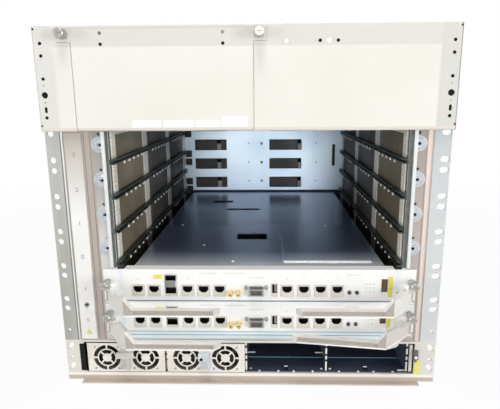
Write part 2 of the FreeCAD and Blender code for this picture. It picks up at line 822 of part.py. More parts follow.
def backplane_board():
    """Backplane circuit board on posts, with a connector in each window of the cover."""
    half = "board_width / 2"
    body = plate("backplane_board", "XZ", BACKPLANE_Y, "board_sheet",
                 f"cage_center - {half}", "cards_bottom", f"cage_center + {half}", FASCIA_BOTTOM)
    blocks = new_sketch(body, "blocks", "XZ", BACKPLANE_Y)
    middle = "cards_bottom + window_rise"
    tall = "(window_height / 2 - connector_inset)"
    wide = "(window_width / 2 - connector_inset)"
    for column in ("connector_left", "connector_right"):
        draw_box(blocks, f"cage_center + {column} - {wide}", f"{middle} - {tall}",
                 f"cage_center + {column} + {wide}", f"{middle} + {tall}")
    block = grow(body, "block_pad", blocks, "connector_length", -1)
    repeat(body, "connectors", [block], "Z", "slot_pitch", "slot_count")
    posts = new_sketch(body, "posts", "XZ", BACKPLANE_Y)
    for side in (-1, 1):
        for height in ("cards_bottom + post_inset", f"{FASCIA_BOTTOM} - post_inset"):
            draw_circle(posts, f"cage_center + {side} * ({half} - post_inset)", height, "post_radius")
    grow(body, "post_pads", posts, "board_offset", -1)


def slot_label_strip():
    """Strip for the slot numbers on the left of the cage, with the wrist-strap socket."""
    body = plate("slot_label_strip", "XZ", "0", "cage_setback", STRIP_LEFT, "frame_top + strip_margin",
                 f"{STRIP_LEFT} + strip_width", f"{FASCIA_BOTTOM} - strip_margin")
    jack = new_sketch(body, "wrist_jack", "XZ")
    draw_circle(jack, f"{STRIP_LEFT} + strip_width / 2", "wrist_jack_height", "wrist_jack_radius")
    carve(body, "wrist_jack_cut", jack)


def fascia():
    """Folded front panel around the fan door, with landings for the door's ears."""
    body = plate("fascia", "XZ", "-fascia_stand", "fascia_stand",
                 "-fascia_width / 2", FASCIA_BOTTOM, "fascia_width / 2", "chassis_height")
    back = new_sketch(body, "back", "XZ")
    draw_box(back, "fascia_rim - fascia_width / 2", f"{FASCIA_BOTTOM} + fascia_rim",
             "fascia_width / 2 - fascia_rim", "chassis_height - fascia_rim")
    carve(body, "hollow", back, "fascia_stand - fascia_sheet", -1)
    left = "(door_left - seam)"
    right = f"({DOOR_RIGHT} + seam)"
    top = f"({DOOR_TOP} + fine_seam)"
    ear_low = f"({EAR_BOTTOM} - fine_seam)"
    ear_left = "(door_left - ear_width - fine_seam)"
    ear_right = f"({DOOR_RIGHT} + ear_width + fine_seam)"
    opening = new_sketch(body, "opening", "XZ", "-fascia_stand")
    draw_outline(opening, [
        (left, f"{FASCIA_BOTTOM} - fascia_rim"), (right, f"{FASCIA_BOTTOM} - fascia_rim"), (right, ear_low),
        (ear_right, ear_low), (ear_right, top), (ear_left, top), (ear_left, ear_low), (left, ear_low),
    ])
    carve(body, "opening_cut", opening)
    landings = new_sketch(body, "landings", "XZ")
    draw_box(landings, f"{ear_left} - fascia_rim", f"{ear_low} - fascia_rim", left, "chassis_height")
    draw_box(landings, right, f"{ear_low} - fascia_rim", f"{ear_right} + fascia_rim", "chassis_height")
    grow(body, "landing_pads", landings, "landing_sheet", -1)
    ties = new_sketch(body, "ties", "XZ")
    draw_box(ties, f"{ear_left} - fascia_rim", f"{ear_low} - fascia_rim", left, ear_low)
    draw_box(ties, right, f"{ear_low} - fascia_rim", f"{ear_right} + fascia_rim", ear_low)
    grow(body, "tie_pads", ties, "fascia_stand - fascia_sheet", -1)
    for hand, start, way in (("left", left, -1), ("right", right, 1)):
        knuckle = new_sketch(body, f"{hand}_knuckle", "YZ", start)
        draw_circle(knuckle, BARREL_Y, BARREL_Z, "barrel_radius")
        grow(body, f"{hand}_barrel", knuckle, "knuckle_length", way)
        bore = new_sketch(body, f"{hand}_bore", "YZ", start)
        draw_circle(bore, BARREL_Y, BARREL_Z, "pin_radius + running_gap")
        carve(body, f"{hand}_bore_cut", bore, "knuckle_length", way)
    holes = new_sketch(body, "holes", "XZ")
    for side in (-1, 1):
        column = f"{side} * {RACK_HOLE}"
        draw_circle(holes, column, f"{FASCIA_BOTTOM} + fascia_rack_rise", "flange_hole_radius")
        for rise in ("side_hole_first", "side_hole_second", "side_hole_third", "side_hole_fourth"):
            draw_circle(holes, column, f"{FASCIA_BOTTOM} + {rise}", "fascia_hole_radius")
        draw_slot(holes, column, f"{FASCIA_BOTTOM} + side_slot_rise", "side_slot_length",
                  "2 * fascia_hole_radius", "90")
        draw_circle(holes, f"cap_hole_right + {side} * cap_hole_step", f"{FASCIA_BOTTOM} + cap_hole_rise",
                    "fascia_hole_radius")
    for column in ("cap_hole_left", "cap_hole_right"):
        draw_circle(holes, column, f"{FASCIA_BOTTOM} + cap_hole_rise", "cap_hole_radius")
    carve(body, "hole_cuts", holes)
    for hand, middle in (("left", knob_x(-1)), ("right", knob_x(1))):
        nut = new_sketch(body, f"{hand}_nut", "XZ")
        draw_circle(nut, middle, KNOB_Z, "shank_radius + shank_room")
        carve(body, f"{hand}_nut_cut", nut, "fascia_stand", -1)


def knob_x(side):
    """X of a door thumbscrew, in the ear on that side."""
    return "(door_left - knob_inset)" if side < 0 else f"({DOOR_RIGHT} + knob_inset)"


def fan_access_door():
    """Fan door with an ear at each top corner, rolled along its lower edge round the hinge pin."""
    body = new_body("fan_access_door")
    ear_left = "(door_left - ear_width)"
    ear_right = f"({DOOR_RIGHT} + ear_width)"
    front = new_sketch(body, "front", "XZ", "-fascia_stand")
    draw_outline(front, [
        ("door_left", BARREL_Z), (DOOR_RIGHT, BARREL_Z), (DOOR_RIGHT, EAR_BOTTOM), (ear_right, EAR_BOTTOM),
        (ear_right, DOOR_TOP), (ear_left, DOOR_TOP), (ear_left, EAR_BOTTOM), ("door_left", EAR_BOTTOM),
    ])
    grow(body, "panel", front, "fascia_sheet")
    lips = new_sketch(body, "lips", "XZ", "fascia_sheet - fascia_stand")
    for start, way in (("door_left", 1), (DOOR_RIGHT, -1)):
        draw_box(lips, start, f"{BARREL_Z} + 2 * barrel_radius",
                 f"{start} + {way} * door_lip", f"{EAR_BOTTOM} - fascia_rim")
    grow(body, "lip_pads", lips, "fascia_stand - fascia_sheet")
    barrel = new_sketch(body, "barrel", "YZ", "door_left")
    draw_circle(barrel, BARREL_Y, BARREL_Z, "barrel_radius")
    grow(body, "rolled_edge", barrel, "door_width")
    bore = new_sketch(body, "bore", "YZ", "door_left")
    draw_circle(bore, BARREL_Y, BARREL_Z, "pin_radius + running_gap")
    carve(body, "bore_cut", bore)
    holes = new_sketch(body, "holes", "XZ")
    for side in (-1, 1):
        draw_circle(holes, knob_x(side), KNOB_Z, "shank_radius + shank_gap")
        pair = f"door_left + door_width / 2 + {side} * door_pair_offset"
        for drop in ("door_pair_high", "door_pair_low"):
            draw_circle(holes, pair, f"{DOOR_TOP} - {drop}", "fascia_hole_radius")
    carve(body, "hole_cuts", holes)


def hinge_pin():
    """Pin through the door's rolled edge and the fascia's knuckles."""
    body = new_body("hinge_pin")
    start = new_sketch(body, "end", "YZ", "door_left - seam - knuckle_length")
    draw_circle(start, BARREL_Y, BARREL_Z, "pin_radius")
    grow(body, "rod", start, "door_width + 2 * seam + 2 * knuckle_length")


def thumbscrew(name, x, y, z, head, length, neck_length, shank):
    """Captive thumbscrew turned about Y, with its seat at zero and its knob towards the front."""
    body = new_body(name)
    half = new_sketch(body, "half", "XY")
    collar = f"(-{neck_length})"
    tip = f"({collar} - {length})"
    draw_outline(half, [
        ("0", shank), ("shank_radius", shank), ("shank_radius", "0"), ("knob_neck", "0"),
        ("knob_neck", collar), (head, collar), (head, f"{tip} + knob_edge"), (f"{head} - knob_edge", tip),
        ("0", tip),
    ])
    turned = body.newObject("PartDesign::Revolution", f"{name}_turned")
    turned.Profile = half
    turned.ReferenceAxis = (half, ["V_Axis"])
    turned.Angle = 360
    doc.recompute()
    place(body, x, y, z)


def fan_bay_floor():
    """Sheet between the cards and the fan trays, open below each fan."""
    body = plate("fan_bay_floor", "XY", FASCIA_BOTTOM, "bay_floor_sheet",
                 f"-{INNER_HALF}", "bay_floor_front", INNER_HALF, "cage_depth + board_offset")
    for number, (x, y) in enumerate(duct_centers()):
        hole = new_sketch(body, f"hole_{number}", "XY", FASCIA_BOTTOM)
        draw_circle(hole, x, y, "duct_radius")
        carve(body, f"hole_cut_{number}", hole)


def duct_centers():
    """Plan positions of the four tray fans, two in each tray."""
    offset = "(tray_width + tray_gap) / 2"
    return [
        (f"{side} * {offset}", f"tray_front + first_duct + {row} * duct_pitch")
        for side in (-1, 1)
        for row in (0, 1)
    ]


def fan_trays():
    """Two pull-out trays, each a folded tub with two fan ducts, motor struts and a front handle."""
    body = new_body("fan_trays")
    left = "-tray_width - tray_gap / 2"
    right = "-tray_gap / 2"
    back = "tray_front + tray_depth"
    outer = new_sketch(body, "outer", "XY", TRAY_BOTTOM)
    draw_box(outer, left, "tray_front", right, back)
    steps = [grow(body, "block", outer, "tray_height")]
    inner = new_sketch(body, "inner", "XY", f"{TRAY_BOTTOM} + tray_wall")
    draw_box(inner, f"{left} + tray_wall", "tray_front + tray_wall",
             f"{right} - tray_wall", f"{back} - tray_wall")
    steps.append(carve(body, "inside", inner, "tray_height - tray_wall"))
    middle = duct_centers()[0][0]
    ducts = new_sketch(body, "ducts", "XY", TRAY_BOTTOM)
    struts = new_sketch(body, "struts", "XY", TRAY_BOTTOM)
    axles = new_sketch(body, "axles", "XY", TRAY_BOTTOM)
    for row in (0, 1):
        y = duct_centers()[row][1]
        draw_circle(ducts, middle, y, "duct_radius")
        draw_box(struts, f"{middle} - duct_radius - tray_wall", f"{y} - strut_width / 2",
                 f"{middle} + duct_radius + tray_wall", f"{y} + strut_width / 2")
        draw_circle(axles, middle, y, "axle_radius")
    steps.append(carve(body, "duct_cuts", ducts))
    steps.append(grow(body, "strut_pads", struts, "tray_wall"))
    steps.append(grow(body, "axle_pads", axles, "axle_height"))
    grip = new_sketch(body, "grip", "XY", f"{TRAY_BOTTOM} + handle_rise")
    wide = "handle_width / 2"
    front = "tray_front - handle_stand"
    inside = f"{front} + handle_bar"
    draw_outline(grip, [
        (f"{middle} - {wide}", "tray_front"), (f"{middle} - {wide}", front), (f"{middle} + {wide}", front),
        (f"{middle} + {wide}", "tray_front"), (f"{middle} + {wide} - handle_bar", "tray_front"),
        (f"{middle} + {wide} - handle_bar", inside), (f"{middle} - {wide} + handle_bar", inside),
        (f"{middle} - {wide} + handle_bar", "tray_front"),
    ])
    steps.append(grow(body, "handle", grip, "handle_height"))
    repeat(body, "pair", steps, "X", "tray_width + tray_gap", "2")


def fan_rotor(name, radius, hub, height, axle, root_pitch, tip_pitch):
    """Fan wheel about Z: hub bored for its axle, with blades lofted from root pitch to tip pitch."""
    body = new_body(name)
    disc = new_sketch(body, "disc", "XY")
    draw_circle(disc, "0", "0", hub)
    draw_circle(disc, "0", "0", f"{axle} + running_gap")
    grow(body, "hub", disc, height)
    profiles = []
    root = (f"{hub} - blade_thickness * {height}", root_pitch)
    tip = (f"{radius} * blade_reach", tip_pitch)
    for label, (level, pitch) in (("root", root), ("tip", tip)):
        section = new_sketch(body, label, "YZ", level)
        chord = f"({height} * blade_rise / sin({pitch}))"
        thick = f"({height} * blade_thickness)"
        ends = []
        for along, across in ((-1, -1), (1, -1), (1, 1), (-1, 1)):
            u = f"{along} * {chord} * cos({pitch}) - {across} * {thick} * sin({pitch})"
            v = f"{height} / 2 + {along} * {chord} * sin({pitch}) + {across} * {thick} * cos({pitch})"
            ends.append((u, v))
        draw_outline(section, ends)
        profiles.append(section)
    blade = body.newObject("PartDesign::AdditiveLoft", f"{name}_blade")
    blade.Profile = profiles[0]
    blade.Sections = [profiles[1]]
    blade.Ruled = True
    doc.recompute()
    ring = body.newObject("PartDesign::PolarPattern", f"{name}_blades")
    ring.Originals = [blade]
    ring.Axis = (origin_of(body, "Z_Axis"), [""])
    ring.Angle = 360
    ring.setExpression("Occurrences", bound("blade_count"))
    body.Tip = ring
    doc.recompute()
    return body


def power_module(number):
    """Power module: folded case with two guarded fan openings and lugs for its latch."""
    left = f"(bay_left + {number} * bay_pitch + (bay_pitch - module_width) / 2)"
    right = f"({left} + module_width)"
    low = "(bay_floor + module_gap)"
    high = f"({low} + module_height)"
    body = plate(f"module_case_{number + 1}", "XZ", "0", "module_depth", left, low, right, high)
    inner = new_sketch(body, "inner", "XZ", "module_depth - module_wall")
    draw_box(inner, f"{left} + module_wall", f"{low} + module_wall",
             f"{right} - module_wall", f"{high} - module_wall")
    carve(body, "hollow", inner, "module_depth - 2 * module_wall", -1)
    openings = new_sketch(body, "openings", "XZ")
    rings = new_sketch(body, "rings", "XZ")
    spokes = new_sketch(body, "spokes", "XZ")
    braces = new_sketch(body, "braces", "XZ")
    axles = new_sketch(body, "axles", "XZ")
    axis_z = f"({low} + guard_rise)"
    mid_ring = "guard_ring - guard_ring_width / 2"
    for x in module_fan_x(number):
        draw_circle(openings, x, axis_z, "guard_radius")
        draw_circle(rings, x, axis_z, "guard_ring")
        draw_circle(rings, x, axis_z, "guard_ring - guard_ring_width")
        draw_circle(rings, x, axis_z, "guard_hub")
        draw_circle(axles, x, axis_z, "module_axle")
        for turn in (0, 90, 180, 270):
            draw_spoke(spokes, x, axis_z, mid_ring, "guard_radius + module_wall", turn)
            draw_spoke(braces, x, axis_z, "guard_hub - module_wall", mid_ring, turn + 45)
    carve(body, "opening_cuts", openings, "module_wall")
    grow(body, "ring_pads", rings, "module_wall")
    grow(body, "spoke_pads", spokes, "module_wall")
    grow(body, "brace_pads", braces, "module_wall")
    grow(body, "axle_pads", axles, "module_axle_length")
    middle = f"({left} + module_width / 2 - latch_width / 2)"
    for label, level in (("low", f"{low} + latch_rise - latch_height / 2 - latch_lug - lug_gap"),
                         ("high", f"{low} + latch_rise + latch_height / 2 + lug_gap")):
        lug = new_sketch(body, f"{label}_lug", "XY", level)
        draw_box(lug, f"{middle} - latch_sheet", "-latch_sheet",
                 f"{middle} + latch_sheet", "module_wall / 2")
        grow(body, f"{label}_lug_pad", lug, "latch_lug")
    hinge_y = "-latch_sheet / 2 - lug_gap"
    pin = new_sketch(body, "latch_pin", "XY", f"{low} + latch_rise - latch_height / 2 - latch_lug - lug_gap")
    draw_circle(pin, middle, hinge_y, "latch_pin")
    grow(body, "latch_pin_pad", pin, "latch_height + 2 * latch_lug + 2 * lug_gap")
    latch = new_body(f"module_latch_{number + 1}")
    plan = new_sketch(latch, "plan", "XY")
    half = "latch_sheet / 2"
    draw_outline(plan, [
        ("0", half), ("0", f"-{half}"), ("latch_width - latch_sheet", f"-{half}"),
        ("latch_width - latch_sheet", "-latch_stand"), ("latch_width", "-latch_stand"),
        ("latch_width", half),
    ])
    grow(latch, "tab", plan, "latch_height")
    knuckle = new_sketch(latch, "knuckle", "XY")
    draw_circle(knuckle, "0", "0", half)
    grow(latch, "knuckle_pad", knuckle, "latch_height")
    eye = new_sketch(latch, "eye", "XY")
    draw_circle(eye, "0", "0", "latch_pin + running_gap")
    carve(latch, "eye_cut", eye)
    place(latch, middle, hinge_y, f"{low} + latch_rise - latch_height / 2")
    for letter, x in zip("ab", module_fan_x(number)):
        rotor = fan_rotor(f"module_fan_{number + 1}{letter}", "module_fan_radius", "module_fan_hub",
                          "module_fan_height", "module_axle", "module_blade_pitch", "module_blade_pitch")
        rotor.Placement = FreeCAD.Placement(FreeCAD.Vector(), FreeCAD.Rotation(FreeCAD.Vector(1, 0, 0), -90))
        place(rotor, x, "module_wall + module_fan_lift", axis_z)


def module_fan_x(number):
    """X of the two fan axes of a power module."""
    middle = f"bay_left + {number} * bay_pitch + bay_pitch / 2"
    return [f"({middle} + {side} * guard_offset)" for side in (-1, 1)]


def draw_spoke(sketch, x, z, start, end, turn):
    """Straight bar between two radii, turned about a fan's axis."""
    corners = []
    for radius, side in ((start, -1), (end, -1), (end, 1), (start, 1)):
        u = f"{x} + ({radius}) * cos({turn}) - {side} * guard_spoke / 2 * sin({turn})"
        v = f"{z} + ({radius}) * sin({turn}) + {side} * guard_spoke / 2 * cos({turn})"
        corners.append((u, v))
    draw_outline(sketch, corners)


def jack_centers():
    """X of each network jack, from the middle of the card."""
    rows = (
        ("pair_jacks", "jack_pitch", 2), ("trio_jacks", "jack_pitch", 3), ("quad_jacks", "quad_pitch", 4),
    )
    return [
        f"(cage_center + {start} + {step} * {pitch})"
        for start, pitch, count in rows
        for step in range(count)
    ]


def card_openings(base):
    """Rectangles that the ports fill in a faceplate: left, low, right, high."""
    deck = f"{base} - card_lift + board_rise + board_thickness"
    boxes = [
        (f"{x} - jack_width / 2", deck, f"{x} + jack_width / 2", f"{deck} + jack_height")
        for x in jack_centers()
    ]
    cage = "cage_center + cage_port"
    boxes.append((f"{cage} - cage_port_width / 2", deck, f"{cage} + cage_port_width / 2",
                  f"{deck} + cage_port_height"))
    serial = "cage_center + serial_port"
    boxes.append((f"{serial} - serial_width / 2", deck, f"{serial} + serial_width / 2",
                  f"{deck} + serial_height"))
    usb = "cage_center + usb_port"
    boxes.append((f"{usb} - usb_width / 2", deck, f"{usb} + usb_width / 2", f"{deck} + usb_height"))
    return boxes


def display_box(base):
    """Rectangle of a card's character display."""
    middle = "cage_center + display_port"
    return (f"{middle} - display_width / 2", f"{base} + display_rise",
            f"{middle} + display_width / 2", f"{base} + display_rise + display_height")


def controller_card(prefix, slot):
    """One controller card with all its pieces, in the given slot from the bottom."""
    base = f"(cards_bottom + {slot} * slot_pitch + card_lift)"
    card_faceplate(f"{prefix}_faceplate", base)
    card_carrier(f"{prefix}_carrier", base)
    plate(f"{prefix}_board", "XY", f"{base} - card_lift + board_rise", "board_thickness",
          "cage_center - board_width / 2", "0", "cage_center + board_width / 2", "card_depth")
    card_ports(f"{prefix}_ports", base)
    card_coax(f"{prefix}_coax", base)
    plate(f"{prefix}_display", "XZ", "-card_sheet - port_proud", "display_depth", *display_box(base))
    for number in (0, 1):
        push_button(f"{prefix}_button_{number + 1}", base, number)
    for hand, side in (("left", -1), ("right", 1)):
        turn = "loose_lever_turn" if (prefix, hand) == ("lower", "right") else "0"
        ejector_lever(f"{prefix}_lever_{hand}", base, side, turn)
        thumbscrew(f"{prefix}_screw_{hand}", f"cage_center + {side} * boss_spacing / 2", "-card_sheet",
                   f"{base} - card_lift + screw_rise", "card_knob_radius", "card_knob_length",
                   "card_knob_neck", "card_shank")


def lever_level(base, top=False):
    """Level of a lever's foot or head above the card's lower edge."""
    return f"{base} + lever_rise + lever_height" if top else f"{base} + lever_rise"


def card_faceplate(name, base):
    """Card front: sheet with returned lips, port cut-outs, and lugs with a pivot pin at each end."""
    body = plate(name, "XZ", "-card_sheet", "card_sheet", "cage_center - card_width / 2", base,
                 "cage_center + card_width / 2", f"{base} + card_height")
    for label, level in (("low", base), ("high", f"{base} + card_height - card_sheet")):
        lip = new_sketch(body, f"{label}_lip", "XY", level)
        draw_box(lip, "cage_center - card_lip_width / 2", "-card_sheet / 2",
                 "cage_center + card_lip_width / 2", "card_lip")
        grow(body, f"{label}_lip_pad", lip, "card_sheet")
    ports = new_sketch(body, "ports", "XZ")
    for left, low, right, high in card_openings(base):
        draw_box(ports, f"{left} - port_gap", f"{low} - port_gap",
                 f"{right} + port_gap", f"{high} + port_gap")
    left, low, right, high = display_box(base)
    draw_box(ports, f"{left} - port_gap", f"{low} - port_gap", f"{right} + port_gap", f"{high} + port_gap")
    for step in (0, 1):
        draw_circle(ports, f"cage_center + coax_port + {step} * coax_pitch", f"{base} + coax_rise",
                    "coax_radius + port_gap")
        draw_circle(ports, f"cage_center + button_first + {step} * button_pitch", f"{base} + button_rise",
                    "button_radius + button_gap")
    for side in (-1, 1):
        draw_circle(ports, f"cage_center + {side} * boss_spacing / 2", f"{base} - card_lift + screw_rise",
                    "shank_radius + shank_gap")
    carve(body, "port_cuts", ports)
    for side in (-1, 1):
        hand = "left" if side < 0 else "right"
        pivot = f"cage_center + {side} * lever_pivot"
        for label, level in (("low", f"{lever_level(base)} - lug_gap - lug_sheet"),
                             ("high", f"{lever_level(base, True)} + lug_gap")):
            lug = new_sketch(body, f"{hand}_{label}_lug", "XY", level)
            draw_box(lug, f"{pivot} - lug_width / 2", "-card_sheet - lever_stand - lever_eye",
                     f"{pivot} + lug_width / 2", "-card_sheet / 2")
            grow(body, f"{hand}_{label}_lug_pad", lug, "lug_sheet")
        pin = new_sketch(body, f"{hand}_pin", "XY", f"{lever_level(base)} - lug_gap - lug_sheet")
        draw_circle(pin, pivot, "-card_sheet - lever_stand", "lever_pin")
        grow(body, f"{hand}_pin_pad", pin, "lever_height + 2 * lug_gap + 2 * lug_sheet")


def card_carrier(name, base):
    """Steel cover over the card's board, folded down at both sides."""
    body = new_body(name)
    half = "carrier_width / 2"
    top = f"{base} - card_lift + carrier_top"
    foot = f"{base} - card_lift + board_rise + board_thickness"
    inside = f"({half} - carrier_sheet)"
    section = new_sketch(body, "section", "XZ", "card_lip")
    draw_outline(section, [
        (f"cage_center - {half}", foot), (f"cage_center - {inside}", foot),
        (f"cage_center - {inside}", f"{top} - carrier_sheet"),
        (f"cage_center + {inside}", f"{top} - carrier_sheet"),
        (f"cage_center + {inside}", foot), (f"cage_center + {half}", foot),
        (f"cage_center + {half}", top), (f"cage_center - {half}", top),
    ])
    grow(body, "cover", section, "card_depth - card_lip")
    slots = new_sketch(body, "slots", "XY", top)
    for cut in ("rear_cut", "middle_cut", "front_cut"):
        left = f"cage_center + {cut}_left"
        draw_box(slots, left, f"{cut}_front", f"{left} + {cut}_width", f"{cut}_front + {cut}_depth")
    carve(body, "slot_cuts", slots, "2 * carrier_sheet", -1)
    patch = new_sketch(body, "patch", "XY", top)
    left = "cage_center + cover_plate_left"
    draw_box(patch, left, "cover_plate_front", f"{left} + cover_plate_width",
             "cover_plate_front + cover_plate_depth")
    grow(body, "cover_plate", patch, "cover_plate_sheet")


def card_ports(name, base):
    """Stamped shells of the jacks, the stacked cage, the serial port and the USB port."""
    body = new_body(name)
    deck = f"{base} - card_lift + board_rise + board_thickness"
    front = "-card_sheet - port_proud"
    shells = new_sketch(body, "shells", "XZ", front)
    for box in card_openings(base):
        draw_box(shells, *box)
    grow(body, "blocks", shells, "port_depth")
    mouths = new_sketch(body, "mouths", "XZ", front)
    for x in jack_centers():
        sill = f"{base} + jack_rise + jack_notch_height"
        draw_outline(mouths, [
            (f"{x} - jack_notch / 2", f"{base} + jack_rise"),
            (f"{x} + jack_notch / 2", f"{base} + jack_rise"),
            (f"{x} + jack_mouth / 2", sill), (f"{x} + jack_mouth / 2", f"{sill} + jack_drop"),
            (f"{x} - jack_mouth / 2", f"{sill} + jack_drop"), (f"{x} - jack_mouth / 2", sill),
        ])
    cage = "cage_center + cage_port"
    for rise in ("cage_mouth_low", "cage_mouth_high"):
        draw_box(mouths, f"{cage} - cage_mouth_width / 2", f"{base} + {rise}",
                 f"{cage} + cage_mouth_width / 2", f"{base} + {rise} + cage_mouth_height")
    usb = "cage_center + usb_port"
    draw_box(mouths, f"{usb} - usb_width / 2 + port_wall / 2", f"{base} + usb_mouth_rise",
             f"{usb} + usb_width / 2 - port_wall / 2", f"{base} + usb_mouth_rise + usb_mouth_height")
    carve(body, "mouth_cuts", mouths, "port_depth - port_wall")
    serial = "cage_center + serial_port"
    shroud = new_sketch(body, "shroud", "XZ", front)
    low = f"{deck} + serial_margin"
    high = f"{deck} + serial_height - serial_margin"
    draw_outline(shroud, [
        (f"{serial} - serial_foot / 2", low), (f"{serial} + serial_foot / 2", low),
        (f"{serial} + serial_width / 2 - port_wall / 2", high),
        (f"{serial} - serial_width / 2 + port_wall / 2", high),
    ])
    grow(body, "serial_shroud", shroud, "serial_stand", -1)
    socket = new_sketch(body, "socket", "XZ", f"{front} - serial_stand")
    rim = "port_wall / 2"
    draw_outline(socket, [
        (f"{serial} - serial_foot / 2 + {rim}", f"{low} + {rim}"),
        (f"{serial} + serial_foot / 2 - {rim}", f"{low} + {rim}"),
        (f"{serial} + serial_width / 2 - 2 * {rim}", f"{high} - {rim}"),
        (f"{serial} - serial_width / 2 + 2 * {rim}", f"{high} - {rim}"),
    ])
    carve(body, "socket_cut", socket, "serial_socket")


def card_coax(name, base):
    """Pair of small coaxial jacks with their nuts."""
    body = new_body(name)
    bores = new_sketch(body, "bodies", "XZ", "-card_sheet - coax_stand")
    nuts = new_sketch(body, "nuts", "XZ", "-card_sheet")
    pins = new_sketch(body, "pins", "XZ", "-card_sheet - coax_stand")
    for step in (0, 1):
        x = f"cage_center + coax_port + {step} * coax_pitch"
        z = f"{base} + coax_rise"
        draw_circle(bores, x, z, "coax_radius")
        hexagon = [
            (f"{x} + coax_nut * cos({60 * k})", f"{z} + coax_nut * sin({60 * k})") for k in range(6)
        ]
        draw_outline(nuts, hexagon)
        draw_circle(pins, x, z, "coax_radius / 2")
    grow(body, "barrels", bores, "coax_stand + card_lip")
    grow(body, "nut_pads", nuts, "coax_nut_length", -1)
    carve(body, "sockets", pins, "coax_stand / 2")


def push_button(name, base, number):
    """Small round push button through the faceplate."""
    body = new_body(name)
    face = new_sketch(body, "face", "XZ", "-card_sheet - button_stand")
    draw_circle(face, f"cage_center + button_first + {number} * button_pitch", f"{base} + button_rise",
                "button_radius")
    grow(body, "stem", face, "button_length")


def ejector_lever(name, base, side, turn):
    """Ejector lever about its own pivot: tall arm that swings forward, and a long channelled pull bar."""
    body = new_body(name)
    plan = new_sketch(body, "plan", "XY", "-arm_drop")
    front = "-lever_reach"
    rear = "(lever_depth - lever_reach)"
    run = f"(lever_run * -{rear} / lever_reach)"
    shape = [
        ("-lever_foot / 2", "0"), ("lever_run - lever_foot / 2", front), ("lever_length - lever_tip", front),
        ("lever_length", f"{front} + lever_tip"), ("lever_length", rear), (f"{run} + lever_foot / 2", rear),
        ("lever_foot / 2", "0"),
    ]
    draw_outline(plan, [(f"{-side} * ({u})", v) for u, v in shape])
    grow(body, "bar", plan, "arm_drop + arm_height")
    trims = new_sketch(body, "trims", "XZ", "lever_eye + lever_depth")
    above = "arm_height + lug_gap"
    below = "-arm_drop - lug_gap"
    outer = "-lever_foot"
    tip = "lever_length + lever_tip"
    root = "arm_start - arm_ramp"
    cuts = (
        [(outer, "lever_height"), (root, "lever_height"), ("arm_start", above), (outer, above)],
        [(outer, "0"), (root, "0"), ("arm_start", below), (outer, below)],
        [("lever_run - lever_slope", above), (tip, above), (tip, "lever_grip"),
         ("lever_run + lever_slope", "lever_grip")],
        [("arm_start + arm_ramp", below), (tip, below), (tip, "0"), ("lever_run - lever_slope", "0")],
    )
    for cut in cuts:
        draw_outline(trims, [(f"{-side} * ({u})", v) for u, v in cut])
    carve(body, "trim_cuts", trims, "lever_reach + 2 * lever_eye + 2 * lever_depth", -1)
    eye = new_sketch(body, "eye", "XY")
    draw_circle(eye, "0", "0", "lever_eye")
    grow(body, "eye_pad", eye, "lever_height")
    channel = new_sketch(body, "channel", "XZ", front)
    groove = [
        ("lever_run + lever_slope", "lever_rim"), ("lever_length - lever_tip - lever_rim", "lever_rim"),
        ("lever_length - lever_tip - lever_rim", "lever_grip - lever_rim"),
        ("lever_run + lever_slope", "lever_grip - lever_rim"),
    ]
    draw_outline(channel, [(f"{-side} * ({u})", v) for u, v in groove])
    carve(body, "channel_cut", channel, "lever_channel")
    bore = new_sketch(body, "bore", "XY")
    draw_circle(bore, "0", "0", "lever_pin + running_gap")
    carve(body, "bore_cut", bore)
    place(body, f"cage_center + {side} * lever_pivot", "-card_sheet - lever_stand", lever_level(base))
    body.setExpression("Placement.Rotation.Angle", bound(f"{-side} * ({turn})"))


def build():
    """All pieces of the chassis, from the shell inwards."""
    chassis_tub()
    top_cover()
    rear_panel()
    power_inlets()
    panel_screws()
    for side in (-1, 1):
        rack_flange(side)
        card_cage(side)
    power_shelf_frame()
    bay_partitions()
    shelf_cross_member()
    plenum_screens()
    guide_rails()
    backplane_cover()
    backplane_board()
    slot_label_strip()
    fascia()
    fan_access_door()
    hinge_pin()
    for hand, side in (("left", -1), ("right", 1)):
        thumbscrew(f"door_screw_{hand}", knob_x(side), "-fascia_stand", KNOB_Z,
                   "knob_radius", "knob_length", "knob_neck_length", "door_shank")
    fan_bay_floor()
    fan_trays()
    for number, (x, y) in enumerate(duct_centers(), start=1):
        rotor = fan_rotor(f"tray_fan_{number}", "tray_fan_radius", "tray_fan_hub", "tray_fan_height",
                          "axle_radius", "blade_root_pitch", "blade_tip_pitch")
        place(rotor, x, y, f"{TRAY_BOTTOM} + tray_fan_lift")
    for number in (0, 1):
        power_module(number)
    for slot, prefix in enumerate(("lower", "upper")):
        controller_card(prefix, slot)


def write_parts():
    """Write each piece to its own file once every object is sound."""
    doc.recompute()
    for item in doc.Objects:
        if "Invalid" in item.State or "Error" in item.State:
            raise RuntimeError(f"{item.Name} failed: {item.State}")
    os.makedirs("parts", exist_ok=True)
    for body in nodes:
        if body.Shape.isNull() or not body.Shape.isValid():
            raise RuntimeError(f"{body.Label} has no valid shape")
    for body in nodes:
        body.Shape.exportStep(f"parts/{body.Label}.step")


build()
write_parts()
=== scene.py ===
# %% [markdown]
# # A router chassis on a white floor
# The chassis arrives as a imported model: every sheet, card, lever and fan is a solid at its real
# size. This lesson gives each of those solids its finish and adds what is too small or too thin to
# be a solid: printed numbers, labels, rivets, contacts, knurls and contact springs. Each addition
# rides on a body of the model, so the door, the cards and the modules still move with all they carry.

# %% Load the frame
import json
import math

import bmesh
import bpy
from mathutils import Matrix, Vector


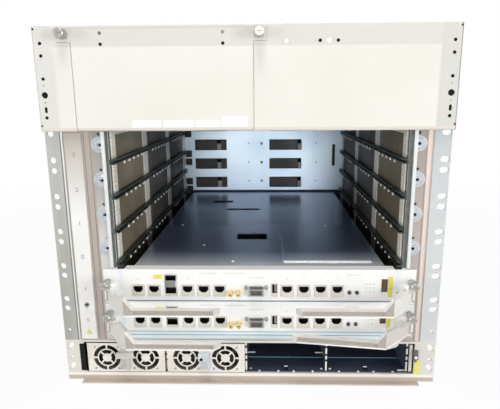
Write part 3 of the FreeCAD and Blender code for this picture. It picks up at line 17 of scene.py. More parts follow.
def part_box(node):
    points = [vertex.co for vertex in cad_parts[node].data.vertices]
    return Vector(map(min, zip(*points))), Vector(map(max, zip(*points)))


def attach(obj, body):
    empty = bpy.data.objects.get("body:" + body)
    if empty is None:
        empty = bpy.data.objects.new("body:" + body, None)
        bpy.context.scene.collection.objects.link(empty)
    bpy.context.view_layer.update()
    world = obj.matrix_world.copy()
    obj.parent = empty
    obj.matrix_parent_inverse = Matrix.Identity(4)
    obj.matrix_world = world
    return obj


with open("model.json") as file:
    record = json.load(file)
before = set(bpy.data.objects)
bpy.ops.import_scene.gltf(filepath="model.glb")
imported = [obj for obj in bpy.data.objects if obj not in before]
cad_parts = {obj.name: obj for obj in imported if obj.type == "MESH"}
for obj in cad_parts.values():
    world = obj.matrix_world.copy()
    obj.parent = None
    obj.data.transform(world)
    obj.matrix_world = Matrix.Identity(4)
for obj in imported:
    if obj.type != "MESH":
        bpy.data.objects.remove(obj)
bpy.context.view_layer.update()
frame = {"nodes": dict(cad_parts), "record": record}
nodes = frame["nodes"]
MM = 0.001

# %% [markdown]
# ## Places that the pieces share
# A label or a rivet should follow the sheet that carries it. So the few places that many pieces use
# are read from the solids' own boxes, in millimetres, and the rest is counted from there. Typing all
# of them in would be shorter, but would come apart as soon as a solid changed.

# %% Measure the solids


def box_mm(node):
    """Lowest and highest corner of a solid, in millimetres."""
    low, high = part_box(node)
    return low / MM, high / MM


fascia_low, fascia_high = box_mm("fascia")
door_low, door_high = box_mm("fan_access_door")
strip_low, strip_high = box_mm("slot_label_strip")
wall_low, wall_high = box_mm("backplane_cover")
tub_low, tub_high = box_mm("chassis_tub")
CAGE_CENTER = (wall_low.x + wall_high.x) / 2
INNER = (wall_high.x - wall_low.x) / 2
SIDES = (("left", -1), ("right", 1))
CARD_BASE = {card: box_mm(f"{card}_faceplate")[0].z for card in ("lower", "upper")}
CARD_FRONT = -2.0
SLOT_PITCH = CARD_BASE["upper"] - CARD_BASE["lower"]
LINE_SLOTS = 4
FIRST_LINE_SLOT = CARD_BASE["upper"] + SLOT_PITCH
UP = (0, 0, SLOT_PITCH)
print("card slots every", round(SLOT_PITCH, 2), "mm, about x =", round(CAGE_CENTER, 1))

# %% [markdown]
# ## Colours and nodes
# Paint and plating are easiest to name by the colour that the eye sees, an sRGB hex value. Shaders
# work with linear light, so one function turns one into the other. Another adds a node, sets it and
# links it, which keeps each finish below down to the lines that matter.

# %% Colour and node helpers
# Sockets of a Mix node while it mixes colours.
MIX_A, MIX_B, MIX_RESULT = 6, 7, 2


def linear(code):
    """Linear RGBA of an sRGB hex colour."""
    parts = [int(code[i:i + 2], 16) / 255 for i in (1, 3, 5)]
    return [c / 12.92 if c <= 0.04045 else ((c + 0.055) / 1.055) ** 2.4 for c in parts] + [1.0]


def add(tree, kind, inputs=None, **settings):
    """Add a node with its settings; each input takes a value or a link from a socket."""
    node = tree.nodes.new(kind)
    for name, value in settings.items():
        setattr(node, name, value)
    for name, value in (inputs or {}).items():
        if isinstance(value, bpy.types.NodeSocket):
            tree.links.new(value, node.inputs[name])
        else:
            node.inputs[name].default_value = value
    return node


print("white is", linear("#FFFFFF"))

# %% [markdown]
# ## One recipe for sheet, paint and plastic
# Nearly every surface here is a sheet or a moulding whose colour wanders a little over some
# centimetres, whose gloss wanders with it, and which has a fine grit. A Bevel node rounds the light
# along each edge, as a press brake or a mould does, and its difference from the flat normal finds
# the edges. The colour laid there is partly wear, where paint is thin and metal shines, and partly a
# painted highlight along the edge. The recipe takes real sizes for all of these. The
# finest grit would be lost between two pixels, so it is drawn as coarse as a close view needs.
# Metallic is a share on plating that lies under a clear film or lacquer, because that dulls it.

# %% A second colour over a finish
finishes = {}


def over(material, colour, *masks):
    """Lay a second colour over a finish wherever every mask is 1."""
    tree = material.node_tree
    shader = tree.nodes["Shader"]
    below = shader.inputs["Base Color"].links[0].from_socket
    share = masks[0]
    for mask in masks[1:]:
        share = add(tree, "ShaderNodeMath", {0: share, 1: mask}, operation="MULTIPLY").outputs[0]
    layer = add(tree, "ShaderNodeMix", {0: share, MIX_A: below, MIX_B: linear(colour)}, data_type="RGBA")
    tree.links.new(layer.outputs[MIX_RESULT], shader.inputs["Base Color"])


print("layers ready")

# %% The shared recipe
# The stretch of the noise over which tone and gloss change, and the turn at which an edge takes its colour of
# wear and painted highlight.
TONE_SPREAD = (0.35, 0.65)
GLOSS_SPREAD = (0.3, 0.7)
WEAR_AND_HIGHLIGHT_SPREAD = (0.97, 0.72)
GRIT_STRENGTH = 0.6


def finish(name, colour, drift, patch_mm, rough, grit_mm, metallic=0.0, stretch=(1, 1, 1), edge=None,
           edge_mm=0.5, gloss_drift=0.18):
    """Material with wandering tone and gloss, grit of a given width and depth, and soft edges with a colour
    of wear and painted highlight.
    """
    material = bpy.data.materials.new(name)
    material.use_nodes = True
    tree = material.node_tree
    tree.nodes.clear()
    grit_width, grit_depth = grit_mm
    coords = add(tree, "ShaderNodeTexCoord", name="Coords")
    place = add(tree, "ShaderNodeMapping", {"Vector": coords.outputs["Object"], "Scale": stretch})
    patches = add(tree, "ShaderNodeTexNoise",
                  {"Vector": place.outputs[0], "Scale": 1 / (patch_mm * MM), "Detail": 4.0})
    spread = add(tree, "ShaderNodeMapRange",
                 {"Value": patches.outputs[0], "From Min": TONE_SPREAD[0], "From Max": TONE_SPREAD[1]})
    tone = add(tree, "ShaderNodeMix",
               {0: spread.outputs[0], MIX_A: linear(colour), MIX_B: linear(drift)}, data_type="RGBA")
    gloss = add(tree, "ShaderNodeMapRange",
                {"Value": patches.outputs[0], "From Min": GLOSS_SPREAD[0], "From Max": GLOSS_SPREAD[1],
                 "To Min": rough * (1 - gloss_drift), "To Max": rough * (1 + gloss_drift)})
    grit = add(tree, "ShaderNodeTexNoise",
               {"Vector": place.outputs[0], "Scale": 1 / (grit_width * MM), "Detail": 2.0})
    rounded = add(tree, "ShaderNodeBevel", {"Radius": edge_mm * MM}, samples=4)
    bump = add(tree, "ShaderNodeBump",
               {"Height": grit.outputs[0], "Distance": grit_depth * MM, "Strength": GRIT_STRENGTH,
                "Normal": rounded.outputs[0]})
    shader = add(tree, "ShaderNodeBsdfPrincipled",
                 {"Base Color": tone.outputs[MIX_RESULT], "Metallic": metallic,
                  "Roughness": gloss.outputs[0], "Normal": bump.outputs[0]}, name="Shader")
    add(tree, "ShaderNodeOutputMaterial", {"Surface": shader.outputs[0]})
    # The edge colour is partly wear and partly a painted highlight along each edge.
    if edge:
        face = add(tree, "ShaderNodeNewGeometry")
        turn = add(tree, "ShaderNodeVectorMath",
                   {0: rounded.outputs[0], 1: face.outputs["Normal"]}, operation="DOT_PRODUCT")
        wear_and_highlight = add(tree, "ShaderNodeMapRange",
                   {"Value": turn.outputs["Value"], "From Min": WEAR_AND_HIGHLIGHT_SPREAD[0], "From Max": WEAR_AND_HIGHLIGHT_SPREAD[1]})
        over(material, edge, wear_and_highlight.outputs[0])
    return material


print("recipe ready")

# %% [markdown]
# ## Second tones by place
# A painted sheet is seldom one tone: a fold, a cut edge or a shaded top differs. Painting a picture
# of it would need a texture, and splitting the mesh would spoil the solid. A mask that reads the
# solid's own coordinates does neither. A band lies between two levels along X, Y or Z, and another
# mask picks the faces that look one way.

# %% Bands and facings
# A level beyond the whole chassis, and how squarely a face has to look along its axis.
FAR = 2000.0
FACING_SPREAD = (0.55, 0.85)


def band(material, axis, low=-FAR, high=FAR, soft=0.3):
    """Mask that is 1 between two levels along X, Y or Z, in millimetres."""
    tree = material.node_tree
    split = add(tree, "ShaderNodeSeparateXYZ", {0: tree.nodes["Coords"].outputs["Object"]})
    ends = [
        add(tree, "ShaderNodeMapRange",
            {"Value": split.outputs[axis], "From Min": (level - soft) * MM, "From Max": (level + soft) * MM,
             "To Min": start, "To Max": 1.0 - start})
        for level, start in ((low, 0.0), (high, 1.0))
    ]
    both = add(tree, "ShaderNodeMath", {0: ends[0].outputs[0], 1: ends[1].outputs[0]}, operation="MULTIPLY")
    return both.outputs[0]


def tint(material, colour, axis, low=-FAR, high=FAR, soft=0.3):
    """Lay a second colour over a finish in one band."""
    over(material, colour, band(material, axis, low, high, soft))


def facing(material, axis, sign):
    """Mask that is 1 on faces that look along an axis of the solid's own frame."""
    tree = material.node_tree
    split = add(tree, "ShaderNodeSeparateXYZ", {0: tree.nodes["Coords"].outputs["Normal"]})
    start, end = FACING_SPREAD
    mask = add(tree, "ShaderNodeMapRange",
               {"Value": split.outputs[axis], "From Min": sign * start, "From Max": sign * end})
    return mask.outputs[0]


print("masks reach", FAR, "mm to either side")

# %% [markdown]
# ## Painted sheet
# The fascia and the door are steel with a warm off-white powder coat: matt, with a faint orange
# peel. The band along the top and the margins are a little greyer. The lower edge is rolled inwards,
# and its last millimetres, which turn away from the light, carry painted shade; a thin line of
# painted shadow runs down each side edge. The ear at the right and the frame of the power shelf have
# harder enamels. One recipe serves all, with the zones laid on as bands.

# %% Paints of the front
TOP_BAND = fascia_high.z - 22.8
MARGIN = 218.0
ROLLED, UNDERSIDE = fascia_low.z + 4.0, fascia_low.z + 1.1
LEFT_EDGE_SHADE, RIGHT_EDGE_SHADE = fascia_low.x + 0.7, fascia_high.x - 1.0
EAR_SHADE = 260.0
SHELF_LIP = (7.2, 11.2)
SHELF_FOOT, SHELF_INSIDE = 7.0, 3.0

# Powder coat: matt, warm white, with an orange peel about a millimetre across.
paint = finish("powder_coat_warm_white", "#EFECE5", "#E9E6DE", patch_mm=160, rough=0.55, grit_mm=(1.2, 0.02))
tint(paint, "#DEDBD4", "Z", low=TOP_BAND, soft=1.0)
tint(paint, "#D8D6D0", "X", low=MARGIN, soft=1.0)
tint(paint, "#E0DED8", "X", high=-MARGIN, soft=2.5)
# Painted shade where the rolled lower edge turns away from the light, darker still on its underside.
tint(paint, "#E2D9D1", "Z", high=ROLLED, soft=0.8)
tint(paint, "#C9C3BB", "Z", high=UNDERSIDE, soft=0.6)
# Painted shadow: a dark line down each bent side edge.
tint(paint, "#8A8B88", "X", low=RIGHT_EDGE_SHADE)
tint(paint, "#B9B5AE", "X", high=LEFT_EDGE_SHADE)
finishes["fascia_paint"] = paint

# Enamel on the right ear: cool, pale and a touch glossier than powder, with painted shade that darkens it
# towards the top.
ear_grey = finish("ear_enamel_grey", "#D6D9DA", "#CED1D1", patch_mm=60, metallic=0.1, rough=0.42,
                  grit_mm=(1.5, 0.01), edge="#F0F1F0")
tint(ear_grey, "#BDC3C5", "Z", low=EAR_SHADE, soft=80)
finishes["ear_paint"] = ear_grey

# Enamel on the shelf's frame: warm grey, with a painted highlight on its lip, painted shade in beige at its
# foot, and dark walls behind.
shelf = finish("shelf_enamel_warm_grey", "#E3DED6", "#D8D3CB", patch_mm=70, metallic=0.15, rough=0.4,
               grit_mm=(1.5, 0.01), edge="#F1EEE7")
tint(shelf, "#F2EDE4", "Z", *SHELF_LIP, soft=0.8)
tint(shelf, "#BDB1A4", "Z", high=SHELF_FOOT, soft=1.2)
tint(shelf, "#454C5E", "Y", low=SHELF_INSIDE, soft=1.0)
finishes["grey_paint"] = shelf
print(len(finishes), "paints")

# %% [markdown]
# ## Paint of the cards and modules
# The card fronts are the whitest surface of the object, a hard enamel that keeps a little gloss. The
# sheet under them and the power modules wear the same enamel, colder and creamier. Folds that turn
# from the light carry painted shade as thin blue-grey lines, and each of those is one narrow band.

# %% Paints of cards, modules and bays
CARD_FOLD = (-0.4, 0.9)
CARD_ENDS = (CAGE_CENTER - 173.0, CAGE_CENTER + 172.0)
END_HALF = 2.5
MEMBER_FOLD = (63.2, 64.5)
GUARD_SLOT_SHADE = (0.4, 2.4)
MODULE_FOOT = 13.0

# Card fronts: hard white enamel, with painted shade as a blue line along the fold and a painted reflection as
# a blue cast at the bent ends.
front = finish("card_enamel_white", "#FBFBF9", "#F5F5F3", patch_mm=50, rough=0.38, grit_mm=(1.0, 0.006),
               edge="#FFFFFF")
for base in CARD_BASE.values():
    tint(front, "#7FA9BE", "Z", *(base + level for level in CARD_FOLD))
for end in CARD_ENDS:
    tint(front, "#EAF1F5", "X", end - END_HALF, end + END_HALF, soft=2.0)
finishes["card_paint"] = front

# Cross member under the cards: the same white, a little colder, with painted shade as a blue line along the
# fold in its middle.
member = finish("member_enamel_cold", "#F1F9FA", "#E8F3F5", patch_mm=50, rough=0.4, grit_mm=(1.0, 0.006),
                edge="#FFFFFF")
tint(member, "#7FB2C8", "Z", *MEMBER_FOLD)
finishes["member_paint"] = member

# Power modules: cream enamel, with painted shade in the slots of the fan guards and a painted line of shadow
# at the foot.
module = finish("module_enamel_cream", "#ECE7DF", "#E2DCD3", patch_mm=40, metallic=0.1, rough=0.42,
                grit_mm=(1.0, 0.006))
tint(module, "#3B3733", "Y", *GUARD_SLOT_SHADE, soft=0.1)
tint(module, "#8799A5", "Z", high=MODULE_FOOT)
finishes["module_paint"] = module

# Inside of the power bays: blue-black paint, with pale edges along the partitions that are partly bare metal
# and partly painted highlight.
finishes["bay_paint"] = finish("bay_paint_navy", "#454C5E", "#4D5567", patch_mm=45, metallic=0.1, rough=0.4,
                               grit_mm=(1.0, 0.01), edge="#D9DDE2")
print(len(finishes), "paints")

# %% [markdown]
# ## Plated sheet
# The tub, the cage and the left ear are bare zinc-plated steel. Plating follows the rolling grain of
# the sheet, so its noise is stretched along one direction: long, faint streaks in tone and gloss.
# The cover of the backplane is a cold, pale zinc, and the covers of the cards are darker and nearly
# mirror-like, so that the rear wall and its windows show in them.

# %% Platings
ALONG_X, ALONG_Z = (1, 0.12, 0.12), (1, 1, 0.12)
TUB_FRONT = 3.0
EAR_GROOVE_SHADE, EAR_RIDGE_HIGHLIGHT = (-222.4, -221.0), (-220.6, -219.2)
WALL_FOOT = box_mm("upper_carrier")[1].z + 2.6
WALL_SKIN = (wall_low.y - 1.0, wall_low.y + 0.6)
COVER_REAR, COVER_FRONT = 250.0, 42.0

# Zinc plate of the top, the rear and the fan trays: mid grey, with streaks that catch light along X.
finishes["zinc_steel"] = finish("zinc_plate_grey", "#A2A3A1", "#9A9C9A", patch_mm=30, metallic=0.85,
                                rough=0.36, grit_mm=(0.5, 0.004), stretch=ALONG_X, edge="#D5D5D2",
                                gloss_drift=0.1)

# Zinc plate of the tub: the same grey, with painted light that makes its front edge warm and pale.
tub = finish("zinc_plate_tub", "#A2A3A1", "#989A98", patch_mm=30, metallic=0.6, rough=0.36,
             grit_mm=(0.5, 0.004), stretch=ALONG_X, edge="#D5D5D2", gloss_drift=0.1)
tint(tub, "#D2C9BE", "Y", high=TUB_FRONT, soft=0.5)
finishes["tub_zinc"] = tub

# Zinc plate of the left ear: paler, streaked upwards, with painted shade in a groove and a painted highlight
# on the ridge beside it.
ear = finish("zinc_plate_ear", "#BDBFBB", "#AEADA6", patch_mm=26, metallic=0.5, rough=0.36,
             grit_mm=(0.5, 0.004), stretch=ALONG_Z, edge="#E6E6E2")
tint(ear, "#777A7B", "X", *EAR_GROOVE_SHADE, soft=0.5)
tint(ear, "#E9EAE8", "X", *EAR_RIDGE_HIGHLIGHT, soft=0.4)
finishes["ear_zinc"] = ear

# Cold zinc of the rear wall: pale blue, nearly even, with a dark seam above the upper card.
cold = finish("zinc_plate_cold", "#E1F3FF", "#D4EAFB", patch_mm=120, metallic=0.6, rough=0.34,
              grit_mm=(0.6, 0.002), edge="#F4F9FC")
over(cold, "#233140", band(cold, "Z", high=WALL_FOOT, soft=0.5), band(cold, "Y", *WALL_SKIN))
finishes["card_steel"] = cold

# Smooth zinc of the card covers: blue-grey and glossy enough to mirror the wall behind it, with painted shade
# towards the rear and painted light along the front.
cover = finish("zinc_plate_blue_grey", "#7E8AA8", "#7783A1", patch_mm=260, metallic=0.48, rough=0.24,
               grit_mm=(0.8, 0.0005), edge="#EEF2F5", gloss_drift=0.03)
tint(cover, "#6072A6", "Y", low=COVER_REAR, soft=150)
tint(cover, "#E9EDEF", "Y", high=COVER_FRONT, soft=30)
finishes["carrier_zinc"] = cover
print(len(finishes), "finishes")

# %% [markdown]
# ## Screws and levers
# Thumbscrews are turned from bar and nickel-plated. Ejector levers look like cast zinc with a pale
# chromate film. Their front faces carry painted shade, grey as the channel of a grip is in shadow,
# and the lower lip of each grip is laid over them as a bright band of painted highlight at each
# card's height.

# %% Nickel and chromate
LEVER_RISE, LEVER_LIP, LIP_MARGIN = 2.2, 1.8, 0.6

# Nickel plate on thumbscrews: bright and a little yellow.
finishes["screw_chrome"] = finish("nickel_plate", "#B9B8B4", "#A5A39E", patch_mm=6, metallic=0.85,
                                  rough=0.27, grit_mm=(0.4, 0.004), edge="#F4F3F0")

# Pale chromate on the levers: off-white and satin, with painted shade on the front faces and a painted
# highlight on the lip.
lever = finish("lever_chromate_pale", "#FAF8F4", "#F1EDE7", patch_mm=24, metallic=0.15, rough=0.34,
               grit_mm=(0.6, 0.006), edge_mm=0.9)
# Painted shade on every face that looks to the front.
over(lever, "#B3ABA2", facing(lever, "Y", -1))
for base in CARD_BASE.values():
    lip_start = base + LEVER_RISE
    lip_highlight_band = band(lever, "Z", lip_start - LIP_MARGIN, lip_start + LEVER_LIP, soft=0.4)
    over(lever, "#FFFEFB", lip_highlight_band, facing(lever, "Y", -1))
finishes["lever_plastic"] = lever
print(len(finishes), "finishes")

# %% [markdown]
# ## The cage's two sides
# The folded front flange of each side is plated sheet with painted shade that darkens it upwards,
# under the fascia. Its outer part is brownish where the film is thick, and on the right a thin
# painted shadow runs along its scalloped outline. Its inner edge carries a painted highlight, and
# behind the edge painted shade stands for a dark groove down the post, before the cream lacquer of
# the posts starts. All of it is one sheet, so it is one material per side, with a band for each zone.

# %% Cage finishes
# Tone, drift and the painted shade under the fascia, and then the two tones of the outer part; on the right
# the first of these is a thin painted shadow along the scalloped outline.
FLANGE_TONES = {"left": ("#D6D5D2", "#C4C2BE", "#7F7D79"), "right": ("#BCB3AB", "#B3ABA4", "#8E8782")}
OUTER_TONES = {"left": ("#ACA39A", "#B3AAA2"), "right": ("#9A8A81", "#E1D2C8")}
OUTER_STARTS = (19.5, 21.5)
SCORED = {"left": (22.0, 29.0), "right": ()}
SCORE_HALF = 0.4
BRIGHT_EDGE = (-1.0, 4.6)
FLANGE_SHADE = 280.0
GROOVE, LACQUER = 3.4, 9.0
for hand, side in SIDES:
    tone, drift, shade = FLANGE_TONES[hand]
    # Zinc plate of one side: a satin grey that runs through all the zones below.
    cage = finish(f"zinc_plate_cage_{hand}", tone, drift, patch_mm=30, metallic=0.2, rough=0.4,
                  grit_mm=(0.6, 0.004), stretch=(1, 1, 0.2), edge="#F1F3F3")
    # Painted shade, darker upwards under the fascia.
    tint(cage, shade, "Z", low=FLANGE_SHADE, soft=80)
    wall_x = CAGE_CENTER + side * INNER
    for start, outer_tone in zip(OUTER_STARTS, OUTER_TONES[hand]):
        tint(cage, outer_tone, "X", *sorted((wall_x + side * start, side * FAR)), soft=0.8)
    for line in SCORED[hand]:
        line_x = wall_x + side * line
        tint(cage, "#7C746C", "X", line_x - SCORE_HALF, line_x + SCORE_HALF)
    # Painted highlight on the inner edge, and painted shade in the groove behind it.
    tint(cage, "#F1F3F4", "X", *sorted(wall_x + side * reach for reach in BRIGHT_EDGE))
    tint(cage, "#57534C", "Y", low=GROOVE)
    tint(cage, "#F4F0E5", "Y", low=LACQUER, soft=0.5)
    finishes[f"cage_zinc_{hand}"] = cage
print("inner walls at x =", round(CAGE_CENTER - INNER, 1), "and", round(CAGE_CENTER + INNER, 1))

# %% [markdown]
# ## Screens with fine holes
# The panels behind the cage's posts are perforated sheet, brown and dull. From the front the holes
# melt into one tone, and close by they show as a faint grid. Real holes would cost thousands of
# faces, so a texture of cells on a grid gives round ones, drawn as coarse as it takes to show them.

# %% Perforated sheet
HOLE_PITCH = 4.0
HOLE_EDGE = (0.42, 0.34)
HOLE_SHARE = 0.5
SCREEN_SHADE, SCREEN_REAR = 173.0, 335.0
# Bronze lacquer on perforated sheet: matt brown, with painted shade that darkens it with each step into the
# cage.
screen = finish("perforated_sheet_bronze", "#8C816D", "#807662", patch_mm=60, metallic=0.1, rough=0.5,
                grit_mm=(0.8, 0.01))
screen_tree = screen.node_tree
holes = add(screen_tree, "ShaderNodeTexVoronoi",
            {"Vector": screen_tree.nodes["Coords"].outputs["Object"], "Scale": 1 / (HOLE_PITCH * MM),
             "Randomness": 0.0})
hole_mask = add(screen_tree, "ShaderNodeMapRange",
                {"Value": holes.outputs["Distance"], "From Min": HOLE_EDGE[0], "From Max": HOLE_EDGE[1],
                 "To Max": HOLE_SHARE})
over(screen, "#4E4739", hole_mask.outputs[0])
tint(screen, "#5A5348", "Y", low=SCREEN_SHADE, soft=20)
tint(screen, "#443E3A", "Y", low=SCREEN_REAR, soft=20)
finishes["screen_paint"] = screen
print("holes every", HOLE_PITCH, "mm")

# %% [markdown]
# ## Mouldings, glass and gold
# Rails, fans, buttons and latches are moulded plastics: one colour right through, with the gloss
# that their mould gave them. The display is glass, the contacts are gold plate and the strip has a
# lacquer. The shared recipe serves them all, with smaller patches on smaller things.

# %% Moulded plastics, display and contacts
STRIP_SHADE = 275.0
# Guide rails: moulded nylon, nearly black with a green cast.
finishes["rail_plastic"] = finish("nylon_green_black", "#2F3733", "#252C29", patch_mm=20, rough=0.42,
                                  grit_mm=(0.8, 0.02), edge="#6C756F")
# Label strip: satin lacquer, white, with painted shade that makes it darker and warmer at the top, under the
# fascia.
strip = finish("strip_lacquer", "#F6F5F3", "#F1EFEC", patch_mm=60, rough=0.42, grit_mm=(1.0, 0.006))
tint(strip, "#BBB2A9", "Z", low=STRIP_SHADE, soft=50)
finishes["strip_paint"] = strip
# Fans: glass-filled polyester, black and dull, so that they sink into the shade of their guards.
finishes["fan_plastic"] = finish("fan_polyester_black", "#17181A", "#101113", patch_mm=15, rough=0.5,
                                 grit_mm=(0.8, 0.02))
# Push buttons: dark grey acrylic with a soft shine.
finishes["button_plastic"] = finish("button_acrylic_grey", "#4B4B4E", "#3C3C40", patch_mm=4, rough=0.3,
                                    grit_mm=(0.5, 0.004))
# Character display: brown glass, the glossiest small face of a card.
finishes["display_glass"] = finish("display_glass_brown", "#6B5640", "#574632", patch_mm=3, rough=0.15,
                                   grit_mm=(0.5, 0.001))
# Module latches: moulded nylon, one warm and pale, the other a little blue.
finishes["latch_plastic"] = finish("latch_nylon_pale", "#D3D0C9", "#C6C3BC", patch_mm=10, rough=0.45,
                                   grit_mm=(0.6, 0.01), edge="#EFEEEA")
finishes["latch_cool"] = finish("latch_nylon_cool", "#D5DCE0", "#C4CED5", patch_mm=10, rough=0.4,
                                grit_mm=(0.6, 0.01), edge="#F3F7FA")
# Gold plate on contacts and coaxial jacks: pale yellow, with bright rims.
finishes["gold_brass"] = finish("gold_plate", "#EAD7A0", "#E0C988", patch_mm=5, metallic=0.5, rough=0.25,
                                grit_mm=(0.4, 0.004), edge="#FBF0CF")
print(len(finishes), "finishes")

# %% [markdown]
# ## Two-tone pieces
# Some solids hold two materials. The port shells are beige outside and dark in their mouths, the
# backplane is a green board with dark connectors, and the power entry is plated sheet around black
# inlets. A mask along Y, the depth of the chassis, splits each of them, which keeps them one solid.

# %% Port shells, backplane and power entry
MOUTH_DEPTH = CARD_FRONT + 0.35
SERIAL, SERIAL_FLOOR = CAGE_CENTER - 3.0, -3.5
SERIAL_RIM, SERIAL_MOUTH = 11.0, 8.4
SERIAL_PROUD, FLOOR_MARGIN = 0.6, 0.4
CONNECTOR_BACK, WINDOW_BACK = wall_high.y + 9.0, wall_high.y + 7.5
WINDOW_FRONT = wall_low.y - 30.0
WINDOWS = (CAGE_CENTER - 156.0, CAGE_CENTER + 95.0)
ENTRY_SHEET = (tub_high.y - 1.6, tub_high.y + 0.1)

# Port shells: beige tin plate, pale along the rims, grey round the serial port, partly its metal shell and
# partly painted shadow of the rim, black in the mouths.
ports = finish("port_shell_beige", "#E2DDD3", "#D5D0C6", patch_mm=8, metallic=0.1, rough=0.4,
               grit_mm=(0.5, 0.006), edge="#F6F3EC", edge_mm=0.3)
over(ports, "#ADABA9", band(ports, "X", SERIAL - SERIAL_RIM, SERIAL + SERIAL_RIM),
     band(ports, "Y", high=CARD_FRONT - SERIAL_PROUD))
over(ports, "#6D6C6B", band(ports, "X", SERIAL - SERIAL_MOUTH, SERIAL + SERIAL_MOUTH),
     band(ports, "Y", SERIAL_FLOOR - FLOOR_MARGIN, CARD_FRONT))
tint(ports, "#0C0C0D", "Y", low=MOUTH_DEPTH, soft=0.15)
finishes["port_steel"] = ports

# Backplane: green fibreglass behind, black connectors in front, brown-black in the card windows.
board = finish("fibreglass_green", "#2C5A3C", "#244C33", patch_mm=30, rough=0.4, grit_mm=(1.0, 0.004))
tint(board, "#15171A", "Y", high=CONNECTOR_BACK, soft=0.2)
over(board, "#221B1C", band(board, "X", *WINDOWS),
     band(board, "Y", WINDOW_FRONT, WINDOW_BACK, soft=0.2))
finishes["backplane_board"] = board

# Boards of the cards: the same fibreglass, a little brighter.
finishes["board_green"] = finish("fibreglass_card_green", "#2F6342", "#275538", patch_mm=30, rough=0.4,
                                 grit_mm=(1.0, 0.004))

# Power entry: streaked zinc plate, with black inlets in front of and behind the sheet.
entry = finish("zinc_plate_entry", "#A6A7A5", "#979998", patch_mm=24, metallic=0.8, rough=0.36,
               grit_mm=(0.5, 0.004), stretch=(0.15, 1, 1))
tint(entry, "#1A1A1C", "Y", low=ENTRY_SHEET[1], soft=0.1)
tint(entry, "#1A1A1C", "Y", high=ENTRY_SHEET[0], soft=0.1)
finishes["inlet_plastic"] = entry
print(len(finishes), "finishes")

# %% [markdown]
# ## Dressing the solids
# Every solid came with the name of a material slot, and most finishes above are kept under those
# names. So one loop dresses the whole model. A few solids share a slot with others but look different
# on the real object, and a short list names the finish that they take instead.

# %% Give each solid its finish
EXCEPTIONS = {
    "card_cage_left": "cage_zinc_left", "card_cage_right": "cage_zinc_right",
    "rack_flange_left": "ear_zinc", "chassis_tub": "tub_zinc",
    "lower_carrier": "carrier_zinc", "upper_carrier": "carrier_zinc",
    "shelf_cross_member": "member_paint", "backplane_board": "backplane_board",
    "module_latch_2": "latch_cool",
}
for row in frame["record"]["subparts"]:
    node = row["node"]
    chosen = EXCEPTIONS.get(node, row["material_slot"])
    nodes[node].material_slots[0].material = finishes[chosen]

# %% [markdown]
# ## Small shapes to repeat
# Rivets, plugs and screw heads are turned parts, so a profile of radius and height spun about an axis
# makes them. Contacts, clips and springs are bevelled blocks, and labels are thin plates with round
# corners. Each is built once about the origin, facing the viewer along -Y.

# %% Turned parts


def to_mesh(name, shape):
    """Close a bmesh with outward faces and keep it as a mesh."""
    bmesh.ops.recalc_face_normals(shape, faces=shape.faces)
    mesh = bpy.data.meshes.new(name)
    shape.to_mesh(mesh)
    shape.free()
    return mesh


def turned(name, profile, segments=20, hollow=False):
    """Turned part about Y; the profile runs from base to top as (radius, height) in millimetres.

    A hollow one joins its last ring to its first, as a washer does, and has no caps.
    """
    shape = bmesh.new()
    turns = [2 * math.pi * i / segments for i in range(segments)]
    rings = [
        [shape.verts.new((r * math.cos(a) * MM, -h * MM, r * math.sin(a) * MM)) for a in turns]
        for r, h in profile
    ]
    if hollow:
        rings.append(rings[0])
    for low, high in zip(rings, rings[1:]):
        for i in range(segments):
            j = (i + 1) % segments
            shape.faces.new((low[i], low[j], high[j], high[i]))
    if not hollow:
        shape.faces.new(rings[0])
        shape.faces.new(rings[-1])
    return to_mesh(name, shape)


print("turned parts ready")

# %% Blocks


def block(name, width, depth, height, bevel):
    """Bevelled block about the origin, in millimetres."""
    shape = bmesh.new()
    bmesh.ops.create_cube(shape, size=1.0)
    for vert in shape.verts:
        vert.co = Vector((vert.co.x * width, vert.co.y * depth, vert.co.z * height)) * MM
    bmesh.ops.bevel(shape, geom=shape.edges[:], offset=bevel * MM, segments=2, affect="EDGES", profile=0.5)
    return to_mesh(name, shape)


print("blocks ready")

# %% Labels


def label(name, width, height, thick, radius, steps=5):
    """Thin plate with round corners, its back at Y 0 and its face towards -Y, in millimetres."""
    shape = bmesh.new()
    rim = []
    for quarter, (sx, sz) in enumerate(((1, 1), (-1, 1), (-1, -1), (1, -1))):
        for step in range(steps + 1):
            a = math.pi / 2 * (quarter + step / steps)
            rim.append((sx * (width / 2 - radius) + radius * math.cos(a),
                        sz * (height / 2 - radius) + radius * math.sin(a)))
    back = [shape.verts.new((x * MM, 0, z * MM)) for x, z in rim]
    face = [shape.verts.new((x * MM, -thick * MM, z * MM)) for x, z in rim]
    count = len(rim)
    for i in range(count):
        j = (i + 1) % count
        shape.faces.new((back[i], back[j], face[j], face[i]))
    shape.faces.new(back)
    shape.faces.new(face)
    return to_mesh(name, shape)


print("labels ready")

# %% [markdown]
# ## Rows and rings with Geometry Nodes
# A router is full of rows: the same rivet, contact or spring every few millimetres, often in a grid.
# One node tree sets a template on a line of points and repeats that line along a second direction.
# A second tree sets it round a circle, turned to face outwards, for knurls. Both trees end as plain
# realised meshes with their material set, so what leaves this script is ordinary geometry.

# %% Start and end of a tree


def new_tree(name, sockets):
    """Geometry node tree with named inputs and one geometry output."""
    tree = bpy.data.node_groups.new(name, "GeometryNodeTree")
    for title, kind in sockets:
        tree.interface.new_socket(title, in_out="INPUT", socket_type=kind)
    tree.interface.new_socket("Geometry", in_out="OUTPUT", socket_type="NodeSocketGeometry")
    return tree, add(tree, "NodeGroupInput").outputs


def close_tree(tree, inputs, instances):
    """End a tree: realise its instances and set their finish."""
    real = add(tree, "GeometryNodeRealizeInstances", {"Geometry": instances})
    dressed = add(tree, "GeometryNodeSetMaterial",
                  {"Geometry": real.outputs[0], "Material": inputs["Finish"]})
    add(tree, "NodeGroupOutput", {"Geometry": dressed.outputs[0]})


